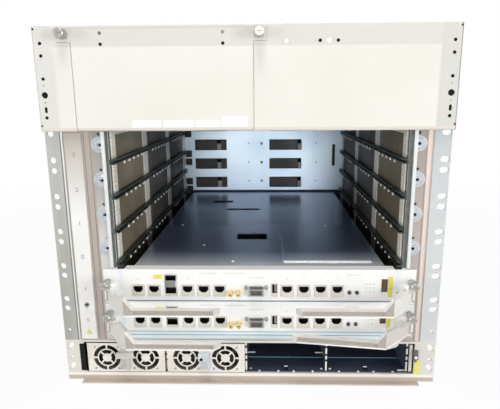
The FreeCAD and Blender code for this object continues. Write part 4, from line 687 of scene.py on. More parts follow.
print("trees can be started and ended")

# %% Tree of rows
rows_tree, row_in = new_tree("Rows of parts", [
    ("Part", "NodeSocketObject"), ("Start", "NodeSocketVector"), ("Step", "NodeSocketVector"),
    ("Count", "NodeSocketInt"), ("Row step", "NodeSocketVector"), ("Rows", "NodeSocketInt"),
    ("Finish", "NodeSocketMaterial")])
across = add(rows_tree, "GeometryNodeMeshLine",
             {"Count": row_in["Count"], "Start Location": row_in["Start"], "Offset": row_in["Step"]},
             mode="OFFSET")
along = add(rows_tree, "GeometryNodeMeshLine",
            {"Count": row_in["Rows"], "Offset": row_in["Row step"]}, mode="OFFSET")
crossed = add(rows_tree, "GeometryNodeInstanceOnPoints",
              {"Points": across.outputs[0], "Instance": along.outputs[0]})
grid = add(rows_tree, "GeometryNodeRealizeInstances", {"Geometry": crossed.outputs[0]})
row_part = add(rows_tree, "GeometryNodeObjectInfo", {"Object": row_in["Part"]})
placed = add(rows_tree, "GeometryNodeInstanceOnPoints",
             {"Points": grid.outputs[0], "Instance": row_part.outputs["Geometry"]})
close_tree(rows_tree, row_in, placed.outputs[0])
print(rows_tree.name, "has", len(rows_tree.nodes), "nodes")

# %% Tree of rings
ring_tree, ring_in = new_tree("Ring of parts", [
    ("Part", "NodeSocketObject"), ("Centre", "NodeSocketVector"), ("Radius", "NodeSocketFloat"),
    ("Count", "NodeSocketInt"), ("Finish", "NodeSocketMaterial")])
circle = add(ring_tree, "GeometryNodeMeshCircle", {"Vertices": ring_in["Count"], "Radius": ring_in["Radius"]})
upright = add(ring_tree, "GeometryNodeTransform",
              {"Geometry": circle.outputs[0], "Translation": ring_in["Centre"],
               "Rotation": (math.pi / 2, 0, 0)})
index = add(ring_tree, "GeometryNodeInputIndex")
one_step = add(ring_tree, "ShaderNodeMath", {0: -2 * math.pi, 1: ring_in["Count"]}, operation="DIVIDE")
angle = add(ring_tree, "ShaderNodeMath", {0: index.outputs[0], 1: one_step.outputs[0]}, operation="MULTIPLY")
outward = add(ring_tree, "ShaderNodeCombineXYZ", {"Y": angle.outputs[0]})
ring_part = add(ring_tree, "GeometryNodeObjectInfo", {"Object": ring_in["Part"]})
seated = add(ring_tree, "GeometryNodeInstanceOnPoints",
             {"Points": upright.outputs[0], "Instance": ring_part.outputs["Geometry"],
              "Rotation": outward.outputs[0]})
close_tree(ring_tree, ring_in, seated.outputs[0])
print(ring_tree.name, "has", len(ring_tree.nodes), "nodes")

# %% [markdown]
# ## From trees to pieces
# A node tree works as a modifier on some object, and its result exists only while the scene is
# evaluated. So an empty carrier gets the tree, the evaluated result is copied out as a plain mesh, and
# the carrier goes again. A piece then joins such meshes, takes its finish and rides on a body.

# %% From a tree to a mesh


def grown(tree, part, **values):
    """Plain mesh that a tree makes from a template mesh and its named inputs."""
    template = bpy.data.objects.new("template", part)
    carrier = bpy.data.objects.new("carrier", bpy.data.meshes.new("carrier"))
    for item in (template, carrier):
        bpy.context.scene.collection.objects.link(item)
    modifier = carrier.modifiers.new("Nodes", "NODES")
    modifier.node_group = tree
    keys = {item.name: item.identifier for item in tree.interface.items_tree if item.in_out == "INPUT"}
    modifier[keys["Part"]] = template
    for name, value in values.items():
        modifier[keys[name.replace("_", " ")]] = value
    bpy.context.view_layer.update()
    view = bpy.context.evaluated_depsgraph_get()
    mesh = bpy.data.meshes.new_from_object(carrier.evaluated_get(view), depsgraph=view)
    for item in (carrier, template):
        bpy.data.objects.remove(item)
    return mesh


def rows(part, look, start, step=(0, 0, 0), count=1, row_step=(0, 0, 0), row_count=1):
    """Grid of a template; places and steps are in millimetres."""
    return grown(rows_tree, part, Start=Vector(start) * MM, Step=Vector(step) * MM, Count=count,
                 Row_step=Vector(row_step) * MM, Rows=row_count, Finish=look)


def moved(mesh, place):
    """Copy of a template at a place in millimetres."""
    copy = mesh.copy()
    copy.transform(Matrix.Translation(Vector(place) * MM))
    return copy


print("meshes can be grown and moved")

# %% From meshes to a piece


def piece(name, meshes, look, body):
    """One object from several meshes, with its finish, riding on a body."""
    shape = bmesh.new()
    for mesh in meshes:
        shape.from_mesh(mesh)
    whole = bpy.data.meshes.new(name)
    shape.to_mesh(whole)
    shape.free()
    whole.materials.clear()
    whole.materials.append(look)
    item = bpy.data.objects.new(name, whole)
    bpy.context.scene.collection.objects.link(item)
    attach(item, body)
    print(name, "has", len(whole.polygons), "faces on", body)
    return item


print("pieces can be made")

# %% [markdown]
# ## Labels and print
# Stickers are paper: quite matt, with round corners, and hardly thicker than the paint. Four blank
# white ones sit along the foot of the door. The strip at the left carries the slot numbers and a
# blank yellow mark at its foot. The numbers are text turned to a mesh, because print made as a
# texture would need a picture, and a mesh stays sharp from any distance.

# %% Stickers on the door
PAPER, PAPER_CORNER = 0.15, 1.2
# Left, right, lowest and highest edge; heights count from the fascia's lower edge.
STICKERS = [
    (-133.5, -98.6, 4.2, 12.8), (-96.6, -60.9, 4.2, 12.8),
    (-59.0, -29.7, 4.2, 12.8), (-28.0, 1.7, 4.5, 16.6),
]
# Uncoated paper: a clean, flat white beside the warmer paint.
white_paper = finish("label_paper_white", "#FBFBFA", "#F6F6F4", patch_mm=12, rough=0.6, grit_mm=(0.4, 0.004))
meshes = []
for left, right, low, high in STICKERS:
    plate = label("sticker", width=right - left, height=high - low, thick=PAPER, radius=PAPER_CORNER)
    meshes.append(moved(plate, ((left + right) / 2, door_low.y, fascia_low.z + (low + high) / 2)))
piece("door_stickers", meshes, white_paper, "door")

# %% Ink, yellow paper and figures
INK = 0.05
# Screen ink: flat grey that lies on the lacquer without shine.
grey_ink = finish("screen_ink_grey", "#A3A19F", "#959391", patch_mm=3, rough=0.6, grit_mm=(0.3, 0.002))
# Yellow label paper: matt, pale and a little green.
yellow_paper = finish("label_paper_yellow", "#EFE868", "#E6DE5A", patch_mm=12, rough=0.6,
                      grit_mm=(0.4, 0.004))


def printed(words, size, place):
    """Thin mesh of printed figures that face the viewer, centred on a place in millimetres."""
    curve = bpy.data.curves.new("print", "FONT")
    curve.body = words
    curve.size = size * MM
    curve.extrude = INK * MM
    curve.align_x = "CENTER"
    curve.align_y = "CENTER"
    carrier = bpy.data.objects.new("print", curve)
    bpy.context.scene.collection.objects.link(carrier)
    bpy.context.view_layer.update()
    view = bpy.context.evaluated_depsgraph_get()
    mesh = bpy.data.meshes.new_from_object(carrier.evaluated_get(view), depsgraph=view)
    bpy.data.objects.remove(carrier)
    mesh.transform(Matrix.Rotation(math.pi / 2, 4, "X"))
    return moved(mesh, place)


print("print is", 2 * INK, "mm thick")

# %% Slot numbers
STRIP_X = (strip_low.x + strip_high.x) / 2
NUMBER_RISE = 14.6
LINE_FIGURE, CARD_FIGURE = 8.0, 6.5
MARK_RADIUS, MARK_RISE = 4.6, 9.0
marks = [(str(slot), LINE_FIGURE, FIRST_LINE_SLOT + slot * SLOT_PITCH) for slot in range(LINE_SLOTS)]
marks += [(str(slot), CARD_FIGURE, base) for slot, base in enumerate(CARD_BASE.values())]
meshes = [
    printed(figure, size, (STRIP_X, strip_low.y - INK, base + NUMBER_RISE))
    for figure, size, base in marks
]
piece("slot_numbers", meshes, grey_ink, "chassis")
mark = turned("mark", [(MARK_RADIUS, 0.0), (MARK_RADIUS, PAPER)], segments=3)
mark.transform(Matrix.Rotation(-math.pi / 2, 4, "Y"))
piece("strip_mark", [moved(mark, (STRIP_X, strip_low.y, strip_low.z + MARK_RISE))], yellow_paper, "chassis")

# %% [markdown]
# ## Shaded holes and inserts in the front
# The small holes of the fascia show dark: black discs in them, and in the notches at its corners, are
# painted shade. Other holes hold threads, and two larger holes near the right thumbscrew hold white
# caps. Nearly all of them are round and come in pairs, so one turned template each and the tree of
# rows set them left and right at the same height.

# %% Rubber and hole shade, steel and nylon
DULL_SHINE = 0.2
# Black rubber, also used as painted shade: no shine to speak of, so that a black disc reads as a shaded hole.
rubber_and_hole_shade = finish("rubber_and_hole_shade_black", "#0B0B0C", "#111113", patch_mm=3, rough=0.7, grit_mm=(0.4, 0.01))
rubber_and_hole_shade.node_tree.nodes["Shader"].inputs["Specular IOR Level"].default_value = DULL_SHINE
# Plain steel of threads and small screws: mid grey and softly bright.
insert_steel = finish("insert_steel_grey", "#9B9A97", "#8A8986", patch_mm=3, metallic=0.7, rough=0.35,
                      grit_mm=(0.3, 0.004))
# White nylon caps: whiter and smoother than the paint round them.
white_cap = finish("cap_nylon_white", "#FCFCFA", "#F7F6F3", patch_mm=6, rough=0.4, grit_mm=(0.4, 0.004))
print("plugs:", rubber_and_hole_shade.name, "threads:", insert_steel.name, "caps:", white_cap.name)

# %% Hole shades, threads and caps of the fascia
# Half the distance between the rack's two columns of holes.
RACK_HOLE = 232.55
BOTH_SIDES = (2 * RACK_HOLE, 0, 0)
SKIN_BACK = fascia_low.y + 2.0
HOLE_RADIUS, HOLE_FLAT = 1.55, 0.05
SMALL_RISES = (16.0, 60.0, 85.5, 99.0)
BIG_RISE, LONG_RISE = 41.75, 25.0
THREAD_RISES = (33.4, 52.6)
CAP_RISE, CAP_X, CAP_STEP = 99.5, 46.0, (47.5, 0, 0)
PAIR_X, PAIR_STEP = 83.5, (20, 0, 0)
NOTCH_SHADE_X, NOTCH_SHADE_LEVELS = 239.1, (fascia_low.z + 6.6, fascia_high.z - 3.0)

hole_shade = turned("hole_shade", [(HOLE_RADIUS, 0.0), (HOLE_RADIUS, 2.0), (1.95, 2.0), (1.95, 2.1), (1.3, 2.25)],
              segments=18)
big_hole_shade = turned("big_hole_shade", [(3.6, 0.0), (3.6, 0.8), (3.2, 1.2), (1.2, 1.3)], segments=28)
long_hole_shade = label("slot_hole_shade", width=2.0 * HOLE_RADIUS, height=6.8, thick=1.7, radius=HOLE_RADIUS - HOLE_FLAT)
notch_shade = turned("notch_shade", [(1.2, 0.0), (1.2, 0.1), (0.8, 0.2)], segments=14)
thread = turned("tapped", [(0.9, 0.0), (0.9, 0.04), (0.5, 0.06)], segments=12)
cap = turned("cap", [(3.5, 0.0), (3.5, 1.4), (3.2, 1.9), (1.6, 2.1)], segments=24)


def in_fascia(x, rise):
    """Place at the back of the fascia's skin, a rise above its lower edge, in millimetres."""
    return x, SKIN_BACK, fascia_low.z + rise


# Black discs of painted shade in the rack holes, the slot and the corner notches.
side_hole_shades = [(hole_shade, rise) for rise in SMALL_RISES] + [(big_hole_shade, BIG_RISE), (long_hole_shade, LONG_RISE)]
meshes = [rows(part, rubber_and_hole_shade, in_fascia(-RACK_HOLE, rise), BOTH_SIDES, 2) for part, rise in side_hole_shades]
meshes.append(rows(hole_shade, rubber_and_hole_shade, in_fascia(PAIR_X, CAP_RISE), PAIR_STEP, 2))
meshes += [rows(notch_shade, rubber_and_hole_shade, (-NOTCH_SHADE_X, fascia_low.y, level), (2 * NOTCH_SHADE_X, 0, 0), 2) for level in NOTCH_SHADE_LEVELS]
piece("fascia_plugs", meshes, rubber_and_hole_shade, "chassis")
meshes = [
    rows(thread, insert_steel, (-RACK_HOLE, fascia_low.y, fascia_low.z + rise), BOTH_SIDES, 2)
    for rise in THREAD_RISES
]
piece("fascia_tapped_holes", meshes, insert_steel, "chassis")
meshes = [rows(cap, white_cap, in_fascia(CAP_X, CAP_RISE), CAP_STEP, 2)]
piece("fascia_caps", meshes, white_cap, "chassis")

# %% [markdown]
# ## Fittings of the door and the strip
# The door has a threaded insert at either side of its middle, with a black disc of painted shade in a
# hole below each. Pale strips behind the seam round it are painted light, so that the seam does not
# show as a dark gap. The label strip carries a round socket for a wrist strap. A hollow turned ring
# makes that one, so that its hole stays open.

# %% Door inserts and plugs
DOOR_CENTER = (door_low.x + door_high.x) / 2
DOOR_PAIR = 69.2
PAIR_START, DOOR_STEP = DOOR_CENTER - DOOR_PAIR, (2 * DOOR_PAIR, 0, 0)
INSERT_DROP, HOLE_SHADE_DROP = 5.0, 17.0
socket = turned("socket", [(HOLE_RADIUS, 0.0), (HOLE_RADIUS, 2.0), (2.1, 2.0), (2.1, 2.2), (1.2, 2.2),
                           (1.0, 0.6)], segments=18)
meshes = [rows(socket, insert_steel, (PAIR_START, SKIN_BACK, door_high.z - INSERT_DROP), DOOR_STEP, 2)]
piece("door_inserts", meshes, insert_steel, "door")
meshes = [rows(hole_shade, rubber_and_hole_shade, (PAIR_START, SKIN_BACK, door_high.z - HOLE_SHADE_DROP), DOOR_STEP, 2)]
piece("door_plugs", meshes, rubber_and_hole_shade, "door")

# %% Painted light in the seam round the door
SEAM, FINE_SEAM, SEAM_DEEP = 1.0, 0.3, 1.2
LEFT_PROUD, RIGHT_PROUD = 0.1, 1.0
SEAM_LIGHT_SHORT, SEAM_LIGHT_BEVEL = 1.0, 0.1
CORNER_WIDTH, CORNER_HEIGHT = 15.5, 14.5
# Painted light: pale strips behind the seam, a soft grey line far quieter than the gap's own shade.
seam_light = finish("seam_light_pale", "#D3CFC8", "#C8C4BD", patch_mm=8, rough=0.7, grit_mm=(0.6, 0.01))
side_top = door_high.z - CORNER_HEIGHT
top_light_strip = block("top_seam_light", width=door_high.x - door_low.x, depth=SEAM_DEEP, height=FINE_SEAM,
                 bevel=SEAM_LIGHT_BEVEL)
side_light_strip = block("side_seam_light", width=SEAM, depth=SEAM_DEEP, height=side_top - fascia_low.z - SEAM_LIGHT_SHORT,
                  bevel=SEAM_LIGHT_BEVEL)
left_x = door_low.x + CORNER_WIDTH - SEAM / 2
right_x = door_high.x - CORNER_WIDTH + SEAM / 2
meshes = [moved(top_light_strip, (DOOR_CENTER, SKIN_BACK - SEAM_DEEP, door_high.z + FINE_SEAM / 2))]
for x, proud in ((left_x, LEFT_PROUD), (right_x, RIGHT_PROUD)):
    meshes.append(moved(side_light_strip, (x, SKIN_BACK - proud, (side_top + fascia_low.z) / 2)))
piece("door_gaskets", meshes, seam_light, "chassis")

# %% Strap socket
SOCKET_RISE = 47.4
strap = turned("wrist_socket", [(2.0, 0.0), (2.0, 0.7), (2.6, 0.9), (3.2, 0.6), (3.3, 0.0)], segments=24,
               hollow=True)
meshes = [moved(strap, (STRIP_X, strip_low.y, strip_low.z + SOCKET_RISE))]
piece("strip_socket", meshes, insert_steel, "chassis")

# %% [markdown]
# ## Knurled thumbscrews
# A captive thumbscrew is turned from bar and knurled so that fingers can grip it. Ribs set round each
# head by the ring tree give the knurl, and a darker bar across the face is painted shade for its
# driver slot, which is too fine to be worth a cut in the solid.

# %% Knurls
RIBS = 26
DOOR_HEAD, CARD_HEAD = 12.0, 13.0
HEAD_MARGIN, RIB_SUNK = 2.4, 0.12
SLOT_SHARE, SLOT_PROUD = 1.3, 0.05
for screw in [name for name in nodes if "_screw_" in name]:
    low, high = box_mm(screw)
    center = (low + high) / 2
    head_radius = (high.x - low.x) / 2
    head_length = DOOR_HEAD if screw.startswith("door") else CARD_HEAD
    rib = block("rib", width=0.6, depth=head_length - HEAD_MARGIN, height=0.55, bevel=0.15)
    ring = grown(ring_tree, rib, Centre=Vector((center.x, low.y + head_length / 2, center.z)) * MM,
                 Radius=(head_radius - RIB_SUNK) * MM, Count=RIBS, Finish=finishes["screw_chrome"])
    piece(f"{screw}_knurl", [ring], finishes["screw_chrome"], screw)
    bar = block("driver_slot", width=head_radius * SLOT_SHARE, depth=0.3, height=0.9, bevel=0.1)
    meshes = [moved(bar, (center.x, low.y - SLOT_PROUD, center.z))]
    piece(f"{screw}_slot", meshes, insert_steel, screw)

# %% [markdown]
# ## Bushings behind a bright lip
# At every slot a card's screw goes into a bushing with turned rings, on a round pad of bare plate,
# and a black disc in front of it is painted shade for its hole. A bright lip of the cage stands in
# front of each bushing's inner edge and hides nearly half of it from the middle, and a dark grey strip
# of painted shade, for the groove there, runs between the lip and the opening. Both run from the
# cards up to the fascia without a break, so each is one long bevelled bar.

# %% Metals of the flange
# Cold zinc on the bushings: each turned ring catches its own line of light.
bushing_zinc = finish("bushing_zinc_cold", "#C5CCD4", "#B6BEC7", patch_mm=4, metallic=0.35, rough=0.3,
                      grit_mm=(0.3, 0.003), edge="#F4F6F8", edge_mm=0.25)
# Bare plate of the pads: pale and even.
pad_zinc = finish("pad_zinc", "#CFD0D1", "#C3C4C6", patch_mm=8, metallic=0.2, rough=0.4, grit_mm=(0.5, 0.003))
# Bright zinc of the lip: nearly white, since it faces the light.
lip_zinc = finish("lip_zinc_bright", "#E6E8E7", "#DFE1E0", patch_mm=20, metallic=0.1, rough=0.4,
                  grit_mm=(0.5, 0.003), edge="#F4F6F5")
# Painted shade for the groove beside the lip: a dark grey, rough strip, so that the lip stands out.
groove_shade_grey = finish("groove_shade_strip_grey", "#646966", "#565B58", patch_mm=6, metallic=0.3, rough=0.5,
                   grit_mm=(0.8, 0.02))
print("flange:", bushing_zinc.name, pad_zinc.name, lip_zinc.name, groove_shade_grey.name)

# %% Bushings on their pads
BOSS, BOSS_RISE = INNER + 11.0, 26.3
FLANGE_FACE = 1.5
HOLE_SHIFT, HOLE_PROUD = {"left": -2.0, "right": -0.2}, 0.45
bushing = turned("bushing", [(2.0, 0.0), (2.0, 0.5), (3.0, 0.5), (3.25, 0.15), (3.8, 0.15), (4.05, 0.55),
                             (5.8, 0.55), (6.3, 0.1), (6.3, 0.0)], segments=32, hollow=True)
hole_shade_disc = turned("hole_shade_disc", [(1.75, 0.0), (1.75, 0.1), (1.2, 0.15)], segments=18)
pad = turned("pad", [(9.6, 0.0), (9.6, 0.05), (9.4, 0.08)], segments=40)
for hand, side in SIDES:
    boss_x, boss_z = CAGE_CENTER + side * BOSS, FIRST_LINE_SLOT + BOSS_RISE
    hole_x = boss_x + side * HOLE_SHIFT[hand]
    # The black discs in front of the holes are painted shade.
    for name, part, look, place, slot in (
        ("bushings", bushing, bushing_zinc, (boss_x, 0.0, boss_z), "zinc_steel"),
        ("bushing_holes", hole_shade_disc, rubber_and_hole_shade, (hole_x, -HOLE_PROUD, boss_z), "fan_plastic"),
        ("boss_pads", pad, pad_zinc, (boss_x, FLANGE_FACE, boss_z), "zinc_steel"),
    ):
        piece(f"{name}_{hand}", [rows(part, look, place, UP, LINE_SLOTS)], look, "chassis")

# %% Lips and gaskets
LIP_FRONT, LIP_END = -0.9, 0.3
LIP_REACH = {"left": (3.7, 7.9), "right": (4.9, 9.1)}
GROOVE_SHADE_DEEP = 0.4
lip_low, lip_high = FIRST_LINE_SLOT + LIP_END, fascia_low.z - LIP_END
lip_z, lip_length = (lip_low + lip_high) / 2, lip_high - lip_low
for hand, side in SIDES:
    wall_x = CAGE_CENTER + side * INNER
    near, far = LIP_REACH[hand]
    lip = block(f"lip_{hand}", width=far - near, depth=FLANGE_FACE - LIP_FRONT, height=lip_length, bevel=0.4)
    lip_place = (wall_x + side * (near + far) / 2, (FLANGE_FACE + LIP_FRONT) / 2, lip_z)
    piece(f"flange_lip_{hand}", [moved(lip, lip_place)], lip_zinc, "chassis")
    # Painted shade: a dark strip for the groove between the lip and the opening.
    gasket = block(f"gasket_{hand}", width=near, depth=GROOVE_SHADE_DEEP, height=lip_length, bevel=0.15)
    groove_shade_place = (wall_x + side * near / 2, FLANGE_FACE - GROOVE_SHADE_DEEP / 2, lip_z)
    piece(f"flange_gasket_{hand}", [moved(gasket, groove_shade_place)], groove_shade_grey, "chassis")

# %% [markdown]
# ## Inside the card cage
# The front posts carry soft cream fingers that ground the cards, and a row of ticks in the groove
# beside them. Along the lower edge of each rail a row of pale dots is painted light, where light
# shines through the perforated screens. Each kind is a short row that repeats at every slot, which is
# just what the grid of the rows tree gives.

# %% Fingers and ticks
FINGERS, FINGER_PITCH, FINGER_RISE = 6, 5.9, 13.5
TICK_DEPTH, FINGER_DEPTH = 6.2, 18.0
TICK_PROUD, FINGER_PROUD = 0.1, 0.3
# Dull steel of the ticks: brownish grey, half lost in the groove.
tick_steel = finish("tick_steel_dull", "#8F897F", "#7E786E", patch_mm=4, metallic=0.5, rough=0.4,
                    grit_mm=(0.3, 0.004))
# Cream lacquer on the fingers: warm and matt, as on the posts.
finger_lacquer = finish("finger_lacquer_cream", "#FAF7EE", "#F1EDE3", patch_mm=6, rough=0.42,
                        grit_mm=(0.4, 0.006))
tick = block("tick", width=0.8, depth=2.4, height=1.8, bevel=0.25)
finger = block("finger", width=1.4, depth=15.0, height=5.6, bevel=0.6)
for hand, side in SIDES:
    wall_x = CAGE_CENTER + side * INNER
    for name, part, look, proud, depth in (
        ("post_ticks", tick, tick_steel, TICK_PROUD, TICK_DEPTH),
        ("ground_fingers", finger, finger_lacquer, FINGER_PROUD, FINGER_DEPTH),
    ):
        start = (wall_x - side * proud, depth, FIRST_LINE_SLOT + FINGER_RISE)
        meshes = [rows(part, look, start, (0, 0, FINGER_PITCH), FINGERS, UP, LINE_SLOTS)]
        piece(f"{name}_{hand}", meshes, look, "chassis")

# %% Lit holes under the rails
rail_bottom = box_mm("guide_rails")[0].z
LIT_HOLE_PITCH, LIT_HOLE_DROP, LIT_HOLE_INSET = 21.0, 1.6, 4.6
# First lit hole and number of lit holes in each run along a rail.
LIT_HOLE_RUNS = ((43.0, 5), (190.0, 6), (352.0, 6))
# Pale zinc, also the painted light of the lit holes: small bright dots under the dark rails.
pale_zinc_and_lit_holes = finish("pale_zinc_and_lit_holes", "#FBF9F2", "#F1EEE5", patch_mm=3, metallic=0.1, rough=0.35,
                   grit_mm=(0.3, 0.004))
lit_hole = turned("lit_hole", [(2.1, 0.0), (2.1, 0.9), (1.6, 1.6), (0.7, 2.0)], segments=16)
lit_hole_z = FIRST_LINE_SLOT + rail_bottom - CARD_BASE["lower"] - LIT_HOLE_DROP
for hand, side in SIDES:
    inward = lit_hole.copy()
    inward.transform(Matrix.Rotation(-side * math.pi / 2, 4, "Z"))
    lit_hole_x = CAGE_CENTER + side * INNER - side * LIT_HOLE_INSET
    meshes = [
        rows(inward, pale_zinc_and_lit_holes, (lit_hole_x, first, lit_hole_z), (0, LIT_HOLE_PITCH, 0), count, UP, LINE_SLOTS)
        for first, count in LIT_HOLE_RUNS
    ]
    piece(f"rail_beads_{hand}", meshes, pale_zinc_and_lit_holes, "chassis")

# %% [markdown]
# ## The rear wall
# In every window of the rear wall a connector shows its dark face, rows of pins and a pale key bar
# with a black notch above it. Small screws hold the cover between the windows. They lie half a metre
# inside the cage, so a few bevelled blocks are enough to catch the light as the real ones do.

# %% Connectors of the rear wall
# Middle of each column of connectors, and how far to its right the key bar sits.
CONNECTORS = ((-118.5, 19.0), (50.3, 33.2))
WINDOW_Z = FIRST_LINE_SLOT + 19.8
CONNECTOR_FACE = wall_low.y + 0.5
KEY_DROP, NOTCH_RISE, NOTCH_SHIFT = 4.0, 6.5, 1.0
KEY_PROUD, NOTCH_PROUD, PIN_PROUD = 0.5, 0.4, 0.3
PIN_PITCH, PINS, PIN_ROWS, PIN_INSET = 3.2, 14, 7, 32.0
# Beige plastic of the keys: pale and warm against the dark connectors.
key_plastic = finish("connector_key_beige", "#D8CCC2", "#CABDB2", patch_mm=6, rough=0.45,
                     grit_mm=(0.5, 0.006))
# Dull nickel of the pins: brown-black, with a faint glint.
pin_dull = finish("pin_nickel_dull", "#453735", "#392D2C", patch_mm=3, metallic=0.4, rough=0.4,
                  grit_mm=(0.3, 0.002))
key = block("key", width=8.5, depth=1.4, height=14.0, bevel=0.4)
notch = block("notch", width=8.5, depth=1.6, height=8.0, bevel=0.4)
pin = block("pin", width=0.9, depth=1.0, height=1.4, bevel=0.25)
keys, notches, pins = [], [], []
for offset, key_shift in CONNECTORS:
    middle = CAGE_CENTER + offset
    key_x = middle + key_shift
    key_place = (key_x, CONNECTOR_FACE - KEY_PROUD, WINDOW_Z - KEY_DROP)
    notch_place = (key_x - NOTCH_SHIFT, CONNECTOR_FACE - NOTCH_PROUD, WINDOW_Z + NOTCH_RISE)
    keys.append(rows(key, key_plastic, key_place, UP, LINE_SLOTS))
    notches.append(rows(notch, rubber_and_hole_shade, notch_place, UP, LINE_SLOTS))
    for slot in range(LINE_SLOTS):
        lowest = WINDOW_Z - PIN_ROWS // 2 * PIN_PITCH + slot * SLOT_PITCH
        start = (middle - PIN_INSET, CONNECTOR_FACE - PIN_PROUD, lowest)
        pins.append(rows(pin, pin_dull, start, (PIN_PITCH, 0, 0), PINS, (0, 0, PIN_PITCH), PIN_ROWS))
piece("connector_keys", keys, key_plastic, "chassis")
piece("connector_notches", notches, rubber_and_hole_shade, "chassis")
piece("connector_pins", pins, pin_dull, "chassis")

# %% Screws of the rear wall
SCREW_Z = WINDOW_Z + 2.8
SMALL_SCREW_X, TINY_SCREWS_X = 9.7, (-19.5, 133.0)
small_screw = turned("small_screw", [(3.2, 0.0), (3.2, 0.6), (2.4, 1.2), (1.2, 1.35)], segments=18)
tiny_screw = turned("tiny_screw", [(1.7, 0.0), (1.7, 0.3), (1.0, 0.6)], segments=12)
wall_screws = [(small_screw, SMALL_SCREW_X)] + [(tiny_screw, x) for x in TINY_SCREWS_X]
meshes = [rows(part, insert_steel, (x, wall_low.y, SCREW_Z), UP, LINE_SLOTS) for part, x in wall_screws]
piece("wall_screws", meshes, insert_steel, "chassis")

# %% [markdown]
# ## Ports of the controller cards
# Jack contacts, the pins and posts of the serial port, the tongue of the USB port and the plate between
# the stacked cages are small, but they are what makes a port look like a port. Each kind is one piece
# per card and rides with its card, so that it comes along when the card is pulled.

# %% Contacts of the jacks
# Middle of each jack, from the middle of the cage, and the figure printed above it.
JACKS = {
    -152.0: "0", -131.8: "1", -89.4: "0", -69.2: "1", -49.0: "2",
    35.7: "0", 56.6: "1", 77.5: "2", 98.4: "3",
}
CONTACTS, CONTACT_PITCH, CONTACT_INSET = 8, 1.02, 3.6
CONTACT_DEPTH, CONTACT_RISE = 4.5, 18.6
gold = finishes["gold_brass"]
contact = block("contact", width=0.5, depth=7.0, height=0.5, bevel=0.12)
for card, base in CARD_BASE.items():
    meshes = []
    for x in JACKS:
        start = (CAGE_CENTER + x - CONTACT_INSET, CONTACT_DEPTH, base + CONTACT_RISE)
        meshes.append(rows(contact, gold, start, (CONTACT_PITCH, 0, 0), CONTACTS))
    piece(f"{card}_contacts", meshes, gold, f"{card}_card")

# %% Pins and posts of the serial port
# Shift, rise and number of the pins in each row.
SERIAL_ROWS = ((0.0, 20.2, 5), (1.4, 17.4, 4))
SERIAL_PITCH, SERIAL_INSET = 2.75, 5.5
POST_REACH, POST_RISE = 12.5, 18.8
serial_pin = turned("serial_pin", [(0.6, 0.0), (0.6, 2.6), (0.3, 3.0)], segments=8)
hex_post = turned("hex_post", [(2.4, 0.0), (2.4, 4.0), (1.4, 4.3)], segments=6)
for card, base in CARD_BASE.items():
    meshes = []
    for shift, rise, count in SERIAL_ROWS:
        start = (SERIAL - SERIAL_INSET + shift, SERIAL_FLOOR, base + rise)
        meshes.append(rows(serial_pin, insert_steel, start, (SERIAL_PITCH, 0, 0), count))
    piece(f"{card}_serial_pins", meshes, insert_steel, f"{card}_card")
    start = (SERIAL - POST_REACH, CARD_FRONT, base + POST_RISE)
    meshes = [rows(hex_post, insert_steel, start, (2 * POST_REACH, 0, 0), 2)]
    piece(f"{card}_hex_posts", meshes, insert_steel, f"{card}_card")

# %% Tongue of the USB port and plate of the cages
USB_X, USB_DEPTH, USB_RISE = CAGE_CENTER + 20.9, 4.0, 16.7
LATCH_X, LATCH_RISE, LATCH_PROUD = CAGE_CENTER - 111.2, 22.6, 0.2
BAR_RISE, BAR_PROUD = 24.2, 0.8
usb_tongue = block("usb_tongue", width=1.6, depth=9.0, height=10.0, bevel=0.2)
latch_plate = block("latch_plate", width=13.6, depth=0.8, height=9.0, bevel=0.25)
latch_bar = block("latch_bar", width=9.0, depth=0.8, height=1.6, bevel=0.3)
for card, base in CARD_BASE.items():
    meshes = [moved(usb_tongue, (USB_X, USB_DEPTH, base + USB_RISE))]
    piece(f"{card}_usb_tongue", meshes, key_plastic, f"{card}_card")
    meshes = [
        moved(latch_plate, (LATCH_X, CARD_FRONT - LATCH_PROUD, base + LATCH_RISE)),
        moved(latch_bar, (LATCH_X, CARD_FRONT - BAR_PROUD, base + BAR_RISE)),
    ]
    piece(f"{card}_cage_latch", meshes, insert_steel, f"{card}_card")

# %% [markdown]
# ## Lamps and marks of the cards
# A card front has nine status lamps, two blank yellow labels, a brown cover over a small slot, and
# pale print: a figure above each jack and thin lines. The lamps are a grid of clear lenses, and the
# marks lie on the enamel as thin meshes, like those of the label strip.

# %% Lamps of the cards
LAMP_X, LAMP_RISE = CAGE_CENTER + 134.0, 13.0
LAMP_STEP, LAMP_ROW_STEP, LAMP_ROWS = (4.5, 0, 0), (0, 0, 5.0), 3
# Clear lenses: pale, glossy dots with a trace of green, as lamps have that are off.
lamp_lens = finish("lamp_lens_clear", "#E2E3DB", "#D5D7CE", patch_mm=2, rough=0.25, grit_mm=(0.3, 0.002))
lamp = turned("lamp", [(0.9, 0.0), (0.9, 0.25), (0.5, 0.5)], segments=12)
for card, base in CARD_BASE.items():
    start = (LAMP_X, CARD_FRONT, base + LAMP_RISE)
    meshes = [rows(lamp, lamp_lens, start, LAMP_STEP, LAMP_ROWS, LAMP_ROW_STEP, LAMP_ROWS)]
    piece(f"{card}_lamps", meshes, lamp_lens, f"{card}_card")

# %% Labels and slot cover
TALL_X, TALL_RISE = CAGE_CENTER + 164.0, 19.5
WIDE_X, WIDE_RISE = CAGE_CENTER - 126.6, 32.0
COVER_X, COVER_RISE = CAGE_CENTER + 173.5, 8.2
